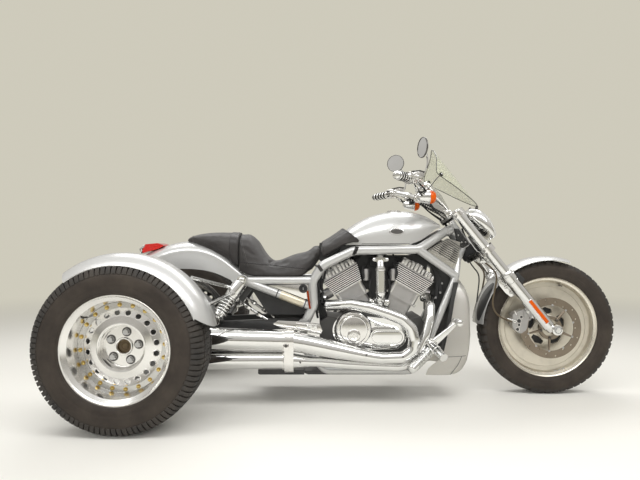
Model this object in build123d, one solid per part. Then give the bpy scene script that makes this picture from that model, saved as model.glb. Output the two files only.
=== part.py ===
"""A motorized trike: a long, low V-twin cruiser whose single back wheel is replaced by two wide-set car wheels.

Millimetres. +X forward, +Y to the rider's left, +Z up, and the ground is Z = 0. The origin lies on the ground
under the middle of the whole machine. Each function makes one sub-part, MADE collects them by node name, and
the last lines write one STEP file for each. Right-hand pieces have negative Y.
"""

from build123d import *
from math import cos, radians, sin, tan
import os

# ---------------------------------------------------------------- driving dimensions
WHEELBASE = 1868.0
TYRE_R = 325.0  # both kinds of tyre have nearly the same outside radius
AXLE_Z = TYRE_R
REAR_X = -WHEELBASE / 2
FRONT_X = WHEELBASE / 2
REAR_TRACK = 1086.0
REAR_Y = REAR_TRACK / 2

REAR_TYRE_W = 228.0
REAR_BEAD_R = 190.5
REAR_LIP_R = 207.0
REAR_RIM_HALF = 102.0
HUB_BORE_R = 27.0
LUG_PCD_R = 57.15
SPINDLE_R = 24.93  # a running fit of 0.07 mm in the hub
SPINDLE_FIT = 0.07
AXLE_TUBE_R = 42.0

FRONT_TYRE_W = 120.0
FRONT_BEAD_R = 241.0
FRONT_LIP_R = 254.0
FRONT_RIM_HALF = 44.0
FRONT_BORE_R = 11.0
FRONT_SPINDLE_R = 10.93
ROTOR_R = 146.0
ROTOR_Y = 74.0

# The steering axis and the fork legs lean back by different angles.
RAKE = 34.0
FORK_ANGLE = 38.8
FORK_TOP = (475.0, 871.0)  # X, Z of the leg's centre line at the upper clamp
FORK_HALF = 120.0
FORK_TUBE_R = 24.5
SLIDER_R = 29.0
CLAMP_GAP = 218.0  # along the leg, from the upper clamp to the lower one
LEG_LENGTH = 700.0
SLIDER_START = 372.0
STEM_BACK_TOP = 35.0  # the axis lies this far behind the legs at the upper clamp

# Frame tubes: one side's corners, mirrored for the other.
STEM_R = 20.0
STEM_FIT = 0.07

RAIL_Y = 150.0
RAIL_R = 21.0
DOWN_R = 19.0
LOWER_R = 15.0

# Mufflers
PIPE_END = -236.0
MUFFLER_FRONT = -331.0
MUFFLER_BACK = -770.0
UPPER_Z = 297.0
UPPER_R = 46.0
LOWER_Z = 210.0
LOWER_MUFFLER_R = 37.0
SHIELD_R = 25.5
FRONT_PIPE_R = 23.0

# Engine
CRANK = (98.0, 279.0)
VEE_HALF_ANGLE = 30.0
CASE_HALF = 118.0
BARREL_W = 140.0
BARREL_LOW = 218.0  # heights are along the cylinder, from the crank
FIN_LOW = 282.0
FIN_HIGH = 360.0
FIN_COUNT = 9
FIN_THICK = 3.6
FIN_LOW_W = 146.0
FIN_TOP_W = 184.0

# Handlebar: the right half's corners
BAR_R = 12.7
GRIP_LENGTH = 118.0
BAR_HALF = [(324, 0, 966), (324, -100, 966), (298, -190, 992), (240, -262, 1014), (143, -415, 1008)]

MADE = {}


# ---------------------------------------------------------------- shared tools
def keep(name, shape):
    """Files a finished sub-part under its node name."""
    MADE[name] = shape
    return shape


def both_sides(shape):
    """The shape and its mirror image across the centre plane, as one compound."""
    return Compound(children=[*shape.solids(), *shape.mirror(Plane.XZ).solids()])


def mirrored(shape):
    """The shape's mirror image across the centre plane."""
    return shape.mirror(Plane.XZ)


def rod(start, end, radius, end_radius=None):
    """A round bar or cone between two points."""
    along = Vector(*end) - Vector(*start)
    base = Plane(origin=start, z_dir=along)
    if end_radius is None:
        return extrude(base * Circle(radius), along.length)
    top = Plane(origin=end, x_dir=base.x_dir, z_dir=along)
    return loft([base * Circle(radius), top * Circle(end_radius)])


def tube(points, radius, bends):
    """A round tube along straight runs joined by tangent arcs. bends is one radius or one for each corner."""
    path = FilletPolyline(*points, radius=bends)
    return sweep(Plane(origin=path @ 0, z_dir=path % 0) * Circle(radius), path)


def across(rows):
    """A round body lofted between circles that face along X. Each row is X, Y, Z and radius."""
    return loft([Plane(origin=(x, y, z), x_dir=(0, 1, 0), z_dir=(1, 0, 0)) * Circle(r) for x, y, z, r in rows])


def ring(centre, axis, outer, inner, width):
    """A flat ring, centred on its middle, with the given axis."""
    plane = Plane(origin=centre, z_dir=axis)
    flat = Circle(outer) - Circle(inner) if inner else Circle(outer)
    return extrude(plane * flat, width / 2, both=True)


def side_plate(outline, y_low, y_high):
    """A flat plate in the XZ plane, between two values of Y."""
    face = make_face(Polyline(*[(x, y_low, z) for x, z in outline], close=True))
    return extrude(face, y_high - y_low, dir=(0, 1, 0))


def wheel_turn(profile, x, y):
    """Turns a face drawn as (radius, outboard) around an axle at x, y. Outboard is away from the centre plane."""
    side = -1 if y < 0 else 1
    plane = Plane(origin=(x, y, AXLE_Z), x_dir=(0, 0, 1), z_dir=(-side, 0, 0))
    return revolve(plane * profile, Axis((x, y, AXLE_Z), (0, 1, 0)), 360)


def fork_point(along, ahead=0.0, y=0.0):
    """A point by its distance down the fork leg, ahead of it, and to the left."""
    a = radians(FORK_ANGLE)
    x = FORK_TOP[0] + along * sin(a) + ahead * cos(a)
    z = FORK_TOP[1] - along * cos(a) + ahead * sin(a)
    return (x, y, z)


def stem_back(along):
    """How far the steering axis lies behind the legs, at a distance down them."""
    return STEM_BACK_TOP + along * tan(radians(FORK_ANGLE - RAKE))


def fork_plane(along, ahead=0.0):
    """A plane across the legs: its X points ahead of them, its Y to the left and its Z up along them."""
    a = radians(FORK_ANGLE)
    return Plane(origin=fork_point(along, ahead), x_dir=(cos(a), 0, sin(a)), z_dir=(-sin(a), 0, cos(a)))


def on_cylinder(lean):
    """A plane at the crank whose Z runs up a cylinder. lean is -1 for the rear one and 1 for the front one."""
    a = radians(VEE_HALF_ANGLE)
    return Plane(origin=(CRANK[0], 0, CRANK[1]), x_dir=(cos(a), 0, -lean * sin(a)), z_dir=(lean * sin(a), 0, cos(a)))


def dome(x, half_width, low, straight, top):
    """A closed section across X: a flat base, upright sides to `straight`, and a half ellipse over them."""
    plane = Plane(origin=(x, 0, 0), x_dir=(0, 1, 0), z_dir=(1, 0, 0))
    line = Polyline((-half_width, straight), (-half_width, low), (half_width, low), (half_width, straight))
    arch = EllipticalCenterArc((0, straight), half_width, top - straight, start_angle=0, arc_size=180)
    return plane * make_face(Wire([*line.edges(), *arch.edges()]))


# ---------------------------------------------------------------- wheels
def tyre_profile(half_width, bead_r, lip_r, shoulder_r, bulge_r):
    """The cross section of a tyre as (radius, outboard): bead, bulging sidewall, round shoulder and crown."""
    bead = half_width * 0.84
    shoulder = half_width * 0.90
    tread = half_width * 0.74
    corner_r = (shoulder_r + TYRE_R) / 2 + 3
    left = [
        ThreePointArc((lip_r, -bead), (bulge_r, -half_width), (shoulder_r, -shoulder)),
        ThreePointArc((shoulder_r, -shoulder), (corner_r, -shoulder + 6), (TYRE_R - 5, -tread)),
    ]
    crown = ThreePointArc((TYRE_R - 5, -tread), (TYRE_R, 0), (TYRE_R - 5, tread))
    right = [
        ThreePointArc((TYRE_R - 5, tread), (corner_r, shoulder - 6), (shoulder_r, shoulder)),
        ThreePointArc((shoulder_r, shoulder), (bulge_r, half_width), (lip_r, bead)),
    ]
    seat = Polyline((lip_r, bead), (bead_r, bead - 7), (bead_r, -bead + 7), (lip_r, -bead))
    return make_face(Wire([*left, crown, *right, *seat.edges()]))


def rear_rim(y):
    """A deep-dish car rim: rolled lip, barrel, flat bolting ring, holed convex face and a flat hub pad."""
    h = REAR_RIM_HALF
    barrel = [  # radius, outboard, from the outer lip round to the inner lip and back along the inside
        (REAR_LIP_R, h), (REAR_LIP_R, h - 8), (REAR_BEAD_R, h - 17), (REAR_BEAD_R, -h + 17),
        (REAR_LIP_R, -h + 8), (REAR_LIP_R, -h), (REAR_LIP_R - 6, -h), (183, -h + 19),
        (183, 12), (150, 12), (118, 24), (92, 28), (88, 0), (88, -4), (HUB_BORE_R, -4),
        (HUB_BORE_R, 5), (78, 5), (83, 9), (85, 33), (94, 36), (120, 31), (151, 19), (174, 19),
        (176, 40), (184, 88), (REAR_LIP_R - 9, h - 4), (REAR_LIP_R - 5, h),
    ]
    rim = wheel_turn(make_face(Polyline(*barrel, close=True)), REAR_X, y)
    side = -1 if y < 0 else 1
    for count, pitch_r, hole_r in ((20, 133.0, 10.5), (5, LUG_PCD_R, 8.0)):
        for i in range(count):
            a = radians(360 / count * i + 8)
            x, z = REAR_X + pitch_r * cos(a), AXLE_Z + pitch_r * sin(a)
            rim -= rod((x, y - side * 20, z), (x, y + side * 60, z), hole_r)
    return rim


def rear_hub(y):
    """The hub flange behind the rim, its five studs and nuts, and the brake rotor."""
    side = -1 if y < 0 else 1
    bore = SPINDLE_R + SPINDLE_FIT
    hub = ring((REAR_X, y - side * 11.5, AXLE_Z), (0, 1, 0), 75, bore, 15)
    hub += ring((REAR_X, y - side * 26, AXLE_Z), (0, 1, 0), 60, bore, 16)
    hub += ring((REAR_X, y - side * 38, AXLE_Z), (0, 1, 0), 140, bore, 10)
    for i in range(5):
        a = radians(72 * i + 8)
        x, z = REAR_X + LUG_PCD_R * cos(a), AXLE_Z + LUG_PCD_R * sin(a)
        hub += rod((x, y - side * 6, z), (x, y + side * 6, z), 6.5)
        nut = Plane(origin=(x, y + side * 5, z), z_dir=(0, side, 0)) * RegularPolygon(11, 6)
        hub += extrude(nut, 16)
    return hub


def front_rim():
    """A solid disc wheel: stepped rim, a coned disc with five windows round the hub, and the hub itself."""
    h = FRONT_RIM_HALF
    half = [  # radius, distance from the middle, along one side from the rim's middle to the hub
        (FRONT_BEAD_R, 0), (FRONT_BEAD_R, h - 12), (FRONT_LIP_R, h - 6), (FRONT_LIP_R, h), (FRONT_LIP_R - 6, h),
        (236, h - 10), (228, h - 14), (226, 26), (218, 12), (120, 17), (62, 24), (46, 34), (40, 60),
        (FRONT_BORE_R, 60),
    ]
    outline = half + [(r, -u) for r, u in reversed(half[1:])]
    rim = wheel_turn(make_face(Polyline(*outline, close=True)), FRONT_X, 0)
    window = make_face(Polyline((66, -30), (84, -30), (96, 0), (84, 30), (66, 30), (60, 0), close=True))
    for i in range(5):
        a = radians(72 * i + 20)
        plane = Plane(origin=(FRONT_X, 0, AXLE_Z), x_dir=(cos(a), 0, sin(a)), z_dir=(0, 1, 0))
        rim -= extrude(plane * window, 60, both=True)
    return rim


def front_rotors():
    """Two drilled brake rotors and their carriers, one each side of the front wheel."""
    both = []
    for side in (-1, 1):
        y = side * ROTOR_Y
        rotor = ring((FRONT_X, y, AXLE_Z), (0, 1, 0), ROTOR_R, 110, 5)
        for i in range(18):
            a = radians(20 * i)
            r = 118 + 9 * (i % 3)
            x, z = FRONT_X + r * cos(a), AXLE_Z + r * sin(a)
            rotor -= rod((x, y - 5, z), (x, y + 5, z), 4)
        rotor += ring((FRONT_X, side * 66, AXLE_Z), (0, 1, 0), 56, 40.5, 12)
        for i in range(5):
            a = radians(72 * i + 50)
            tip = (FRONT_X + 111 * cos(a), y, AXLE_Z + 111 * sin(a))
            root = (FRONT_X + 48 * cos(a), side * 69, AXLE_Z + 48 * sin(a))
            rotor += rod(root, tip, 7, 4)
        both += rotor.solids()
    return Compound(children=both)


# ---------------------------------------------------------------- frame
def frame():
    """The tubular frame: main rails, posts, seat triangle, front braces, down tubes, cradle and head tube."""
    y = -RAIL_Y
    runs = [  # corners, radius, bend
        ([(462, -34, 797), (430, -42, 786), (283, y, 703), (-21, y, 697), (-163, y, 629), (-211, y, 553),
          (-205, y, 442), (-250, y, 350)], RAIL_R, [20, 60, 90, 70, 50, 60]),
        ([(-208, y, 558), (-531, y, 558)], DOWN_R - 1, None),
        ([(-528, y, 556), (-212, y, 434)], DOWN_R, None),
        ([(283, y, 702), (470, -104, 576)], DOWN_R, None),
        ([(522, -26, 708), (488, -66, 655), (470, -104, 576), (330, y, 272), (268, y, 138), (-150, y, 138),
          (-262, y, 250), (-250, y, 352)], LOWER_R + 2, [24, 60, 90, 60, 50, 60]),
    ]
    side = None
    for points, radius, bends in runs:
        piece = rod(points[0], points[1], radius) if bends is None else tube(points, radius, bends)
        side = piece if side is None else side + piece
    side += ring((-534, y, 558), (0, 1, 0), 27, 0, 44)
    side += ring((-252, y, 350), (0, 1, 0), 30, 0, 40)
    whole = side + mirrored(side)
    for x, z, radius in ((-500, 558, 14), (-205, 500, 13), (-84, 138, 12), (200, 138, 12)):
        whole += rod((x, y, z), (x, -y, z), radius)
    head_low, head_high = fork_point(190, -stem_back(190)), fork_point(26, -stem_back(26))
    whole += rod(head_low, head_high, 34)
    whole -= rod(fork_point(260, -stem_back(260)), fork_point(-60, -stem_back(-60)), STEM_R + STEM_FIT)
    return whole


def neck_covers():
    """The two louvred covers that close the frame's front triangle."""
    outline = [(332, 694), (432, 756), (492, 738), (486, 668), (464, 608)]
    inside = [(350, 694), (432, 745), (483, 730), (477, 670), (462, 628)]
    slots, pitch, fall = 12, 10.5, 0.42
    cover = side_plate(outline, -98, -80)
    field = side_plate(inside, -99, -90)
    for i in range(slots):
        z = 760 - pitch * i
        slot = [(340, z), (340, z - 4.5), (500, z - 4.5 - 160 * fall), (500, z - 160 * fall)]
        cover -= side_plate(slot, -99, -90) & field
    return both_sides(cover)


# ---------------------------------------------------------------- engine
def crankcase():
    """The closed crankcase and gearbox, one heavy block with the real outline."""
    outline = [(-178, 236), (-178, 360), (-140, 386), (-52, 372), (98, 456), (248, 372), (300, 386), (322, 340),
               (300, 250), (255, 160), (-110, 160)]
    block = side_plate(outline, -CASE_HALF, CASE_HALF)
    for x in (-84, 200):
        block += side_plate([(x - 24, 140), (x - 24, 175), (x + 24, 175), (x + 24, 140)], -90, 90)
    return block


def cylinder(lean):
    """One water-jacketed cylinder: a recessed barrel, a stack of thin fins and the cam cover's bolt towers."""
    plane = on_cylinder(lean)
    half_y = 108
    body = extrude(plane.offset(144) * RectangleRounded(BARREL_W - 16, 200, 12), BARREL_LOW - 144)
    body += extrude(plane.offset(BARREL_LOW) * RectangleRounded(BARREL_W, 2 * half_y, 10), FIN_LOW - BARREL_LOW)
    body += extrude(plane.offset(BARREL_LOW - 3) * Rectangle(BARREL_W + 12, 2 * half_y + 8), 8)
    for y in (-half_y, half_y):
        body -= extrude(plane.offset(BARREL_LOW + 14) * Pos(0, y) * Rectangle(92, 12), 40)
    body += extrude(plane.offset(FIN_LOW) * Rectangle(FIN_LOW_W - 16, 2 * half_y - 16), FIN_HIGH - FIN_LOW)
    pitch = (FIN_HIGH - FIN_LOW) / FIN_COUNT
    for i in range(FIN_COUNT):
        width = FIN_LOW_W + (FIN_TOP_W - FIN_LOW_W) * i / (FIN_COUNT - 1)
        fin = RectangleRounded(width, 2 * half_y + 12, 5)
        body += extrude(plane.offset(FIN_LOW + i * pitch) * fin, FIN_THICK)
    body += extrude(plane.offset(FIN_HIGH) * RectangleRounded(FIN_TOP_W + 6, 2 * half_y + 16, 6), 7)
    body += extrude(plane.offset(FIN_HIGH + 7) * RectangleRounded(FIN_TOP_W - 24, 2 * half_y - 26, 14), 30)
    for x, width, height in ((-66, 40, 33), (-36, 13, 37), (-2, 40, 39), (64, 50, 15)):
        body += extrude(plane.offset(FIN_HIGH + 7) * Pos(x, 0) * RectangleRounded(width, 2 * half_y - 4, 5), height)
    port = extrude(plane.offset(301) * Rot(0, 90, 0) * Circle(26), 112, both=True)
    body += (port & extrude(plane * Pos(lean * 95, 0) * Rectangle(34, 60), 400)).moved(Location((0, -60, 0)))
    return body


def right_covers():
    """The round clutch cover, the oblong cover ahead of it and the polished case rim they stand on."""
    clutch_x, clutch_z = -22, 336
    face = -CASE_HALF
    plane = Plane(origin=(58, face, 316), x_dir=(1, 0, 0), z_dir=(0, -1, 0))
    base = extrude(plane * Rot(0, 0, -6) * SlotCenterToCenter(206, 146), 40)
    clutch = rod((clutch_x, face - 40, clutch_z), (clutch_x, face - 82, clutch_z), 80, 76)
    clutch += rod((clutch_x, face - 82, clutch_z), (clutch_x, face - 94, clutch_z), 64, 60)
    clutch += rod((clutch_x, face - 94, clutch_z - 25), (clutch_x, face - 100, clutch_z - 25), 28, 25)
    oblong = Plane(origin=(131, face - 40, 302), x_dir=(1, 0, 0), z_dir=(0, -1, 0))
    cover = extrude(oblong * SlotCenterToCenter(88, 68), 40)
    cover += extrude(oblong.offset(40) * SlotCenterToCenter(84, 58), 8)
    return base + clutch + cover


def left_covers():
    """The alternator cover, the belt sprocket cover and the case rim on the left."""
    face = CASE_HALF
    plane = Plane(origin=(70, face, 310), x_dir=(1, 0, 0), z_dir=(0, 1, 0))
    base = extrude(plane * SlotCenterToCenter(210, 170), 40)
    alternator = rod((98, face + 40, 290), (98, face + 74, 290), 84, 72)
    sprocket = rod((-62, face + 40, 330), (-62, face + 66, 330), 66, 58)
    return base + alternator + sprocket


def intake_tower():
    """The upright chrome water pipe between the cylinders, with its end fittings."""
    pipe = tube([(106, -126, 452), (106, -146, 490), (106, -146, 610), (106, -122, 668)], 22, 44)
    pipe += rod((106, -110, 440), (106, -134, 470), 26)
    flange = Plane(origin=(106, -140, 656), x_dir=(1, 0, 0), z_dir=(0, -1, 0))
    pipe += extrude(flange * SlotCenterToCenter(58, 20), 12)
    return pipe


def airbox():
    """The black air box over the engine, the throttle housing between the cylinders and the duct ahead."""
    throttle = side_plate([(20, 560), (60, 640), (140, 640), (180, 560), (150, 470), (50, 470)], -80, 80)
    neck = side_plate([(60, 630), (60, 690), (140, 690), (140, 630)], -70, 70)
    roof = side_plate([(-80, 684), (-80, 722), (300, 722), (336, 704), (316, 672), (240, 690)], -112, 112)
    ahead = [(300, 690), (336, 704), (398, 660), (456, 576), (436, 506), (420, 400), (352, 400), (352, 470),
             (386, 545), (386, 612)]
    return throttle + neck + roof + side_plate(ahead, -76, 76)


# ---------------------------------------------------------------- exhaust
def rear_exhaust():
    """The shielded rear pipe, which runs forward, loops round the cases and comes back to the upper muffler."""
    loop = [  # X, Y, Z of the pipe's centre line; the shield starts at the third point
        (-142, -60, 488), (-166, -84, 458), (-140, -140, 441), (-28, -196, 452), (44, -230, 441), (126, -244, 415),
        (192, -246, 389), (232, -248, 350), (244, -250, 300), (238, -252, 252), (196, -254, 220), (90, -256, 217),
    ]
    cone = [  # X, Y, Z and radius of the shield where it widens
        (104, -256, 217, SHIELD_R + 1), (20, -258, 230, 30), (-76, -262, 250, 37), (-140, -265, 264, 41),
        (-236, -268, 284, 44), (MUFFLER_FRONT, -270, UPPER_Z, UPPER_R),
    ]
    neck = tube(loop[:4], 19, [16, 24])
    shield = tube(loop[2:], SHIELD_R, [70, 70, 70, 50, 50, 50, 40, 50])
    return neck + shield + across(cone)


def front_exhaust():
    """The front cylinder's pipe, which drops behind the loop and runs back to the lower muffler."""
    path = [  # X, Y, Z of the pipe's centre line
        (318, -60, 482), (352, -84, 470), (340, -140, 436), (330, -172, 380), (308, -192, 310), (266, -200, 224),
        (196, -208, 170), (78, -218, 176), (-64, -236, 188), (-170, -248, 200), (PIPE_END, -250, 202),
    ]
    pipe = tube(path, FRONT_PIPE_R, [26, 40, 60, 90, 90, 60, 90, 150, 90])
    cone = [(PIPE_END + 12, -250, 202, FRONT_PIPE_R + 1), (MUFFLER_FRONT, -262, LOWER_Z, LOWER_MUFFLER_R)]
    return pipe + across(cone)


def mufflers():
    """Two straight slash-cut mufflers, one over the other, each closed by a recessed end."""
    pair = []
    rows = ((-270, UPPER_Z, UPPER_R, 308, 55), (-262, LOWER_Z, LOWER_MUFFLER_R, 209, 41))
    for y, front_z, front_r, back_z, back_r in rows:
        can = across([(MUFFLER_FRONT, y, front_z, front_r), (MUFFLER_BACK, y, back_z, back_r)])
        can -= across([(MUFFLER_BACK + 90, y, back_z, back_r - 8), (MUFFLER_BACK - 5, y, back_z, back_r - 6)])
        low, high = back_z - 90, back_z + 90
        slash = [(MUFFLER_BACK - 60, low), (MUFFLER_BACK, low), (MUFFLER_BACK + 60, high), (MUFFLER_BACK - 60, high)]
        can -= side_plate(slash, -400, -100)
        pair += can.solids()
    return Compound(children=pair)


def muffler_clamp(pipes):
    """The cast clamp that grips both pipes just ahead of the mufflers, with its hanger to the frame."""
    plane = Plane(origin=(MUFFLER_FRONT, -266, (UPPER_Z + LOWER_Z) / 2), x_dir=(0, 0, 1), z_dir=(1, 0, 0))
    clamp = extrude(plane * SlotCenterToCenter(UPPER_Z - LOWER_Z, 2 * UPPER_R + 12), 40)
    clamp += rod((-310, -232, 318), (-262, -168, 352), 10)
    for pipe in pipes:
        clamp -= pipe
    return clamp


# ---------------------------------------------------------------- body
def tank_cover():
    """The stretched tank cover: domed sections from the seat to the steering head."""
    rows = [  # X, half width, low edge, top of the upright side, crown
        (-128, 84, 700, 712, 742),
        (-42, 122, 724, 740, 804),
        (40, 142, 724, 756, 854),
        (150, 152, 724, 766, 886),
        (250, 140, 730, 772, 890),
        (340, 100, 772, 796, 868),
        (408, 52, 808, 816, 828),
    ]
    return loft([dome(*row) for row in rows])


def seat():
    """The rider's seat with its raised bolster, as one plain closed cushion."""
    rows = [  # X, half width, low edge, top of the upright side, crown
        (-563, 122, 600, 700, 788),
        (-505, 130, 578, 696, 772),
        (-462, 142, 572, 650, 704),
        (-420, 152, 572, 622, 652),
        (-340, 156, 572, 626, 657),
        (-262, 138, 576, 650, 682),
        (-205, 104, 630, 686, 715),
        (-166, 84, 672, 696, 711),
    ]
    return loft([dome(*row) for row in rows])


def pillion():
    """The tapering passenger seat that climbs over the tail."""
    rows = [  # X, half width, low edge, top of the upright side, crown
        (-828, 48, 736, 748, 760),
        (-745, 98, 716, 756, 785),
        (-655, 114, 678, 742, 791),
        (-564, 120, 616, 726, 788),
    ]
    return loft([dome(*row) for row in rows])


def tank_pouch():
    """The soft bib strapped over the back of the tank cover."""
    rows = [  # X, half width, low edge, top of the upright side, crown
        (-170, 118, 664, 690, 742),
        (-110, 140, 694, 730, 772),
        (-40, 150, 727, 764, 824),
        (12, 152, 727, 774, 844),
    ]
    return loft([dome(*row) for row in rows])


TAIL_ROWS = [  # X, half width, low edge, top of the upright side, crown
    (-1110, 62, 520, 548, 600),
    (-1040, 92, 560, 612, 676),
    (-930, 112, 604, 664, 722),
    (-800, 118, 611, 690, 744),
    (-680, 118, 594, 668, 712),
    (-610, 116, 564, 624, 668),
    (-540, 112, 545, 572, 602),
]


def tail_body():
    """The painted centre fender behind the seat, a hollow shell open below."""
    rows = TAIL_ROWS
    wall = 4.0
    inner = [(x, w - wall, low - 40, min(mid, top - 2 * wall), top - wall) for x, w, low, mid, top in rows]
    inner[0] = (rows[0][0] - 1, *inner[0][1:])
    inner[-1] = (rows[-1][0] + 1, *inner[-1][1:])
    return loft([dome(*row) for row in rows]) - loft([dome(*row) for row in inner])


def tail_lamp():
    """The faceted tail lamp on top of the tail."""
    body = side_plate([(-1042, 684), (-1024, 728), (-960, 734), (-930, 722), (-960, 706)], -62, 62)
    return chamfer(body.edges().filter_by(Axis.Y), 4)


def rear_fender(side):
    """A crowned cycle fender over one back wheel, rolled at its edges and cut level at its front."""
    skin = make_face(Wire([
        ThreePointArc((316, 100), (355, 52), (362, 0)),
        ThreePointArc((362, 0), (355, -52), (316, -100)),
        Line((316, -100), (312.5, -98)),
        ThreePointArc((312.5, -98), (351, -50), (358, 0)),
        ThreePointArc((358, 0), (351, 50), (312.5, 98)),
        Line((312.5, 98), (316, 100)),
    ]))
    y = side * REAR_Y
    plane = Plane(origin=(REAR_X, y, AXLE_Z), x_dir=(1, 0, 0), z_dir=(0, 0, 1))
    axis = Axis((REAR_X, y, AXLE_Z), (0, -1, 0))
    band = revolve(plane * skin, axis, 115).rotate(axis, 12)
    return band - side_plate([(-720, 496), (-560, 391), (-500, 300), (-720, 300)], y - 120, y + 120)


def fender_stays():
    """Round bars that carry the two back fenders from the axle carrier and the frame."""
    side = rod((-560, -172, 520), (-700, -442, 585), 8)
    side += rod((-560, -172, 510), (-640, -442, 470), 8)
    side += rod((-560, -160, 515), (-560, -184, 515), 16)
    return both_sides(side)


def radiator_shroud():
    """The wide painted cowl round the radiator: bowed in front, flared at the bottom and open in the middle."""
    side_view = [  # X, Z
        (464, 560), (492, 560), (522, 420), (522, 290), (506, 215), (480, 146), (430, 130), (312, 122), (330, 164),
        (392, 205), (424, 330), (446, 470),
    ]
    front_view = [(80, 560), (124, 480), (156, 340), (168, 230), (160, 122)]  # half width, Z
    cowl = side_plate(side_view, -170, 170)
    left = [(300, y, z) for y, z in front_view]
    right = [(300, -y, z) for y, z in reversed(front_view)]
    face = make_face(Polyline(*left, *right, close=True))
    cowl = cowl & extrude(face, 260, dir=(1, 0, 0))
    mouth = side_plate([(400, 190), (400, 500), (700, 500), (700, 190)], -112, 112)
    ears = both_sides(rod((425, -119, 480), (462, -106, 480), 9))
    return cowl - mouth + ears


# ---------------------------------------------------------------- steering assembly
def clamp_outline(half, leg_r, stem_r, back):
    """The outline of a triple clamp: an eye round each leg, one round the stem and the web between them."""
    corners = [(leg_r * 0.6, half), (leg_r * 0.6, -half), (-leg_r * 0.3, -half), (-back - stem_r * 0.8, -22),
               (-back - stem_r * 0.8, 22), (-leg_r * 0.3, half)]
    web = make_face(Polyline(*corners, close=True))
    return web + Pos(0, half) * Circle(leg_r) + Pos(0, -half) * Circle(leg_r) + Pos(-back, 0) * Circle(stem_r)


def triple_clamps():
    """Upper and lower clamps joined by the steering stem."""
    upper = extrude(fork_plane(0) * clamp_outline(FORK_HALF, 34, 30, stem_back(0)), 13, both=True)
    outline = clamp_outline(FORK_HALF, 36, 34, stem_back(CLAMP_GAP))
    lower = extrude(fork_plane(CLAMP_GAP) * outline, 16, both=True)
    stem = rod(fork_point(CLAMP_GAP, -stem_back(CLAMP_GAP)), fork_point(0, -stem_back(0)), STEM_R)
    clamps = upper + lower + stem
    for y in (-FORK_HALF, FORK_HALF):
        clamps -= rod(fork_point(-40, 0, y), fork_point(CLAMP_GAP + 60, 0, y), FORK_TUBE_R)
    return clamps


def fork_legs():
    """Two telescopic legs: upper tube, slider with its dust seal, and the foot that grips the axle."""
    both = []
    for y in (-FORK_HALF, FORK_HALF):
        leg = rod(fork_point(-14, 0, y), fork_point(SLIDER_START + 4, 0, y), FORK_TUBE_R)
        leg += rod(fork_point(SLIDER_START, 0, y), fork_point(LEG_LENGTH - 20, 0, y), SLIDER_R)
        leg += rod(fork_point(SLIDER_START - 4, 0, y), fork_point(SLIDER_START + 26, 0, y), SLIDER_R + 4)
        leg += rod(fork_point(LEG_LENGTH - 30, 0, y), fork_point(LEG_LENGTH + 6, 0, y), SLIDER_R, 20)
        leg += ring((FRONT_X, y, AXLE_Z), (0, 1, 0), 25, 0, 44)
        leg -= ring((FRONT_X, y, AXLE_Z), (0, 1, 0), 11, 0, 60)
        both += leg.solids()
    return Compound(children=both)


def front_axle():
    """The front spindle, which clears the wheel's hub by a running gap."""
    spindle = ring((FRONT_X, 0, AXLE_Z), (0, 1, 0), FRONT_SPINDLE_R, 6, 2 * FORK_HALF + 60)
    for side in (-1, 1):
        spindle += ring((FRONT_X, side * (FORK_HALF + 27), AXLE_Z), (0, 1, 0), 17, 6, 8)
    return spindle


def calipers():
    """Two four-piston calipers straddling the rotors, each on an arm from its slider."""
    both = []
    half, gap = 22, 7.5  # the caliper's half thickness and the slot's
    for side in (-1, 1):
        block = side_plate([(744, 398), (800, 420), (822, 384), (811, 320), (780, 298), (742, 330)], -half, half)
        block = chamfer(block.edges().filter_by(Axis.Y), 8)
        block -= ring((FRONT_X, 0, AXLE_Z), (0, 1, 0), ROTOR_R + 6, 0, 2 * gap)
        block = block.moved(Location((0, side * ROTOR_Y, 0)))
        arm = side_plate([(796, 420), (850, 436), (858, 396), (826, 372)], side * 98 - 9, side * 98 + 9)
        arm += side_plate([(796, 412), (826, 400), (818, 372), (796, 380)], side * 92 - 8, side * 92 + 8)
        both += (block + arm).solids()
    legs = fork_legs()
    return Compound(children=[s for piece in both for s in (piece - legs).solids()])


def front_fender():
    """The crowned front fender with its long rear flap, carried between the sliders."""
    skin = make_face(Wire([
        ThreePointArc((328, 76), (342, 42), (346, 0)),
        ThreePointArc((346, 0), (342, -42), (328, -76)),
        Line((328, -76), (324.5, -74)),
        ThreePointArc((324.5, -74), (338, -40), (342, 0)),
        ThreePointArc((342, 0), (338, 40), (324.5, 74)),
        Line((324.5, 74), (328, 76)),
    ]))
    plane = Plane(origin=(FRONT_X, 0, AXLE_Z), x_dir=(1, 0, 0), z_dir=(0, 0, 1))
    axis = Axis((FRONT_X, 0, AXLE_Z), (0, -1, 0))
    band = revolve(plane * skin, axis, 104).rotate(axis, 73)
    for side in (-1, 1):
        lug = side_plate([(736, 556), (776, 520), (800, 560), (770, 590)], side * 84 - 9, side * 84 + 9)
        band += lug - fork_legs()
    return band


def headlamp():
    """The long teardrop lamp shell that leans with the fork, and its curved lens."""
    rows = [  # distance down the legs, ahead of them at the back and front, half width
        (30, 40, 96, 34),
        (60, 34, 122, 62),
        (110, 36, 134, 78),
        (160, 46, 128, 76),
        (206, 60, 112, 52),
    ]
    sections = []
    for along, back, front, half in rows:
        sections.append(fork_plane(along, (back + front) / 2) * Ellipse((front - back) / 2, half))
    shell = loft(sections)
    lens_angle = radians(FORK_ANGLE - 12)
    face = Plane(origin=fork_point(118, 112), x_dir=(0, 1, 0), z_dir=(cos(lens_angle), 0, sin(lens_angle)))
    ahead = extrude(face * Rectangle(400, 400), 80)
    return shell - ahead, shell & ahead


def handlebar():
    """The pulled-back bar on its tall risers."""
    bar = tube(BAR_HALF, BAR_R, [60, 60, 60])
    return bar + mirrored(bar)


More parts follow.
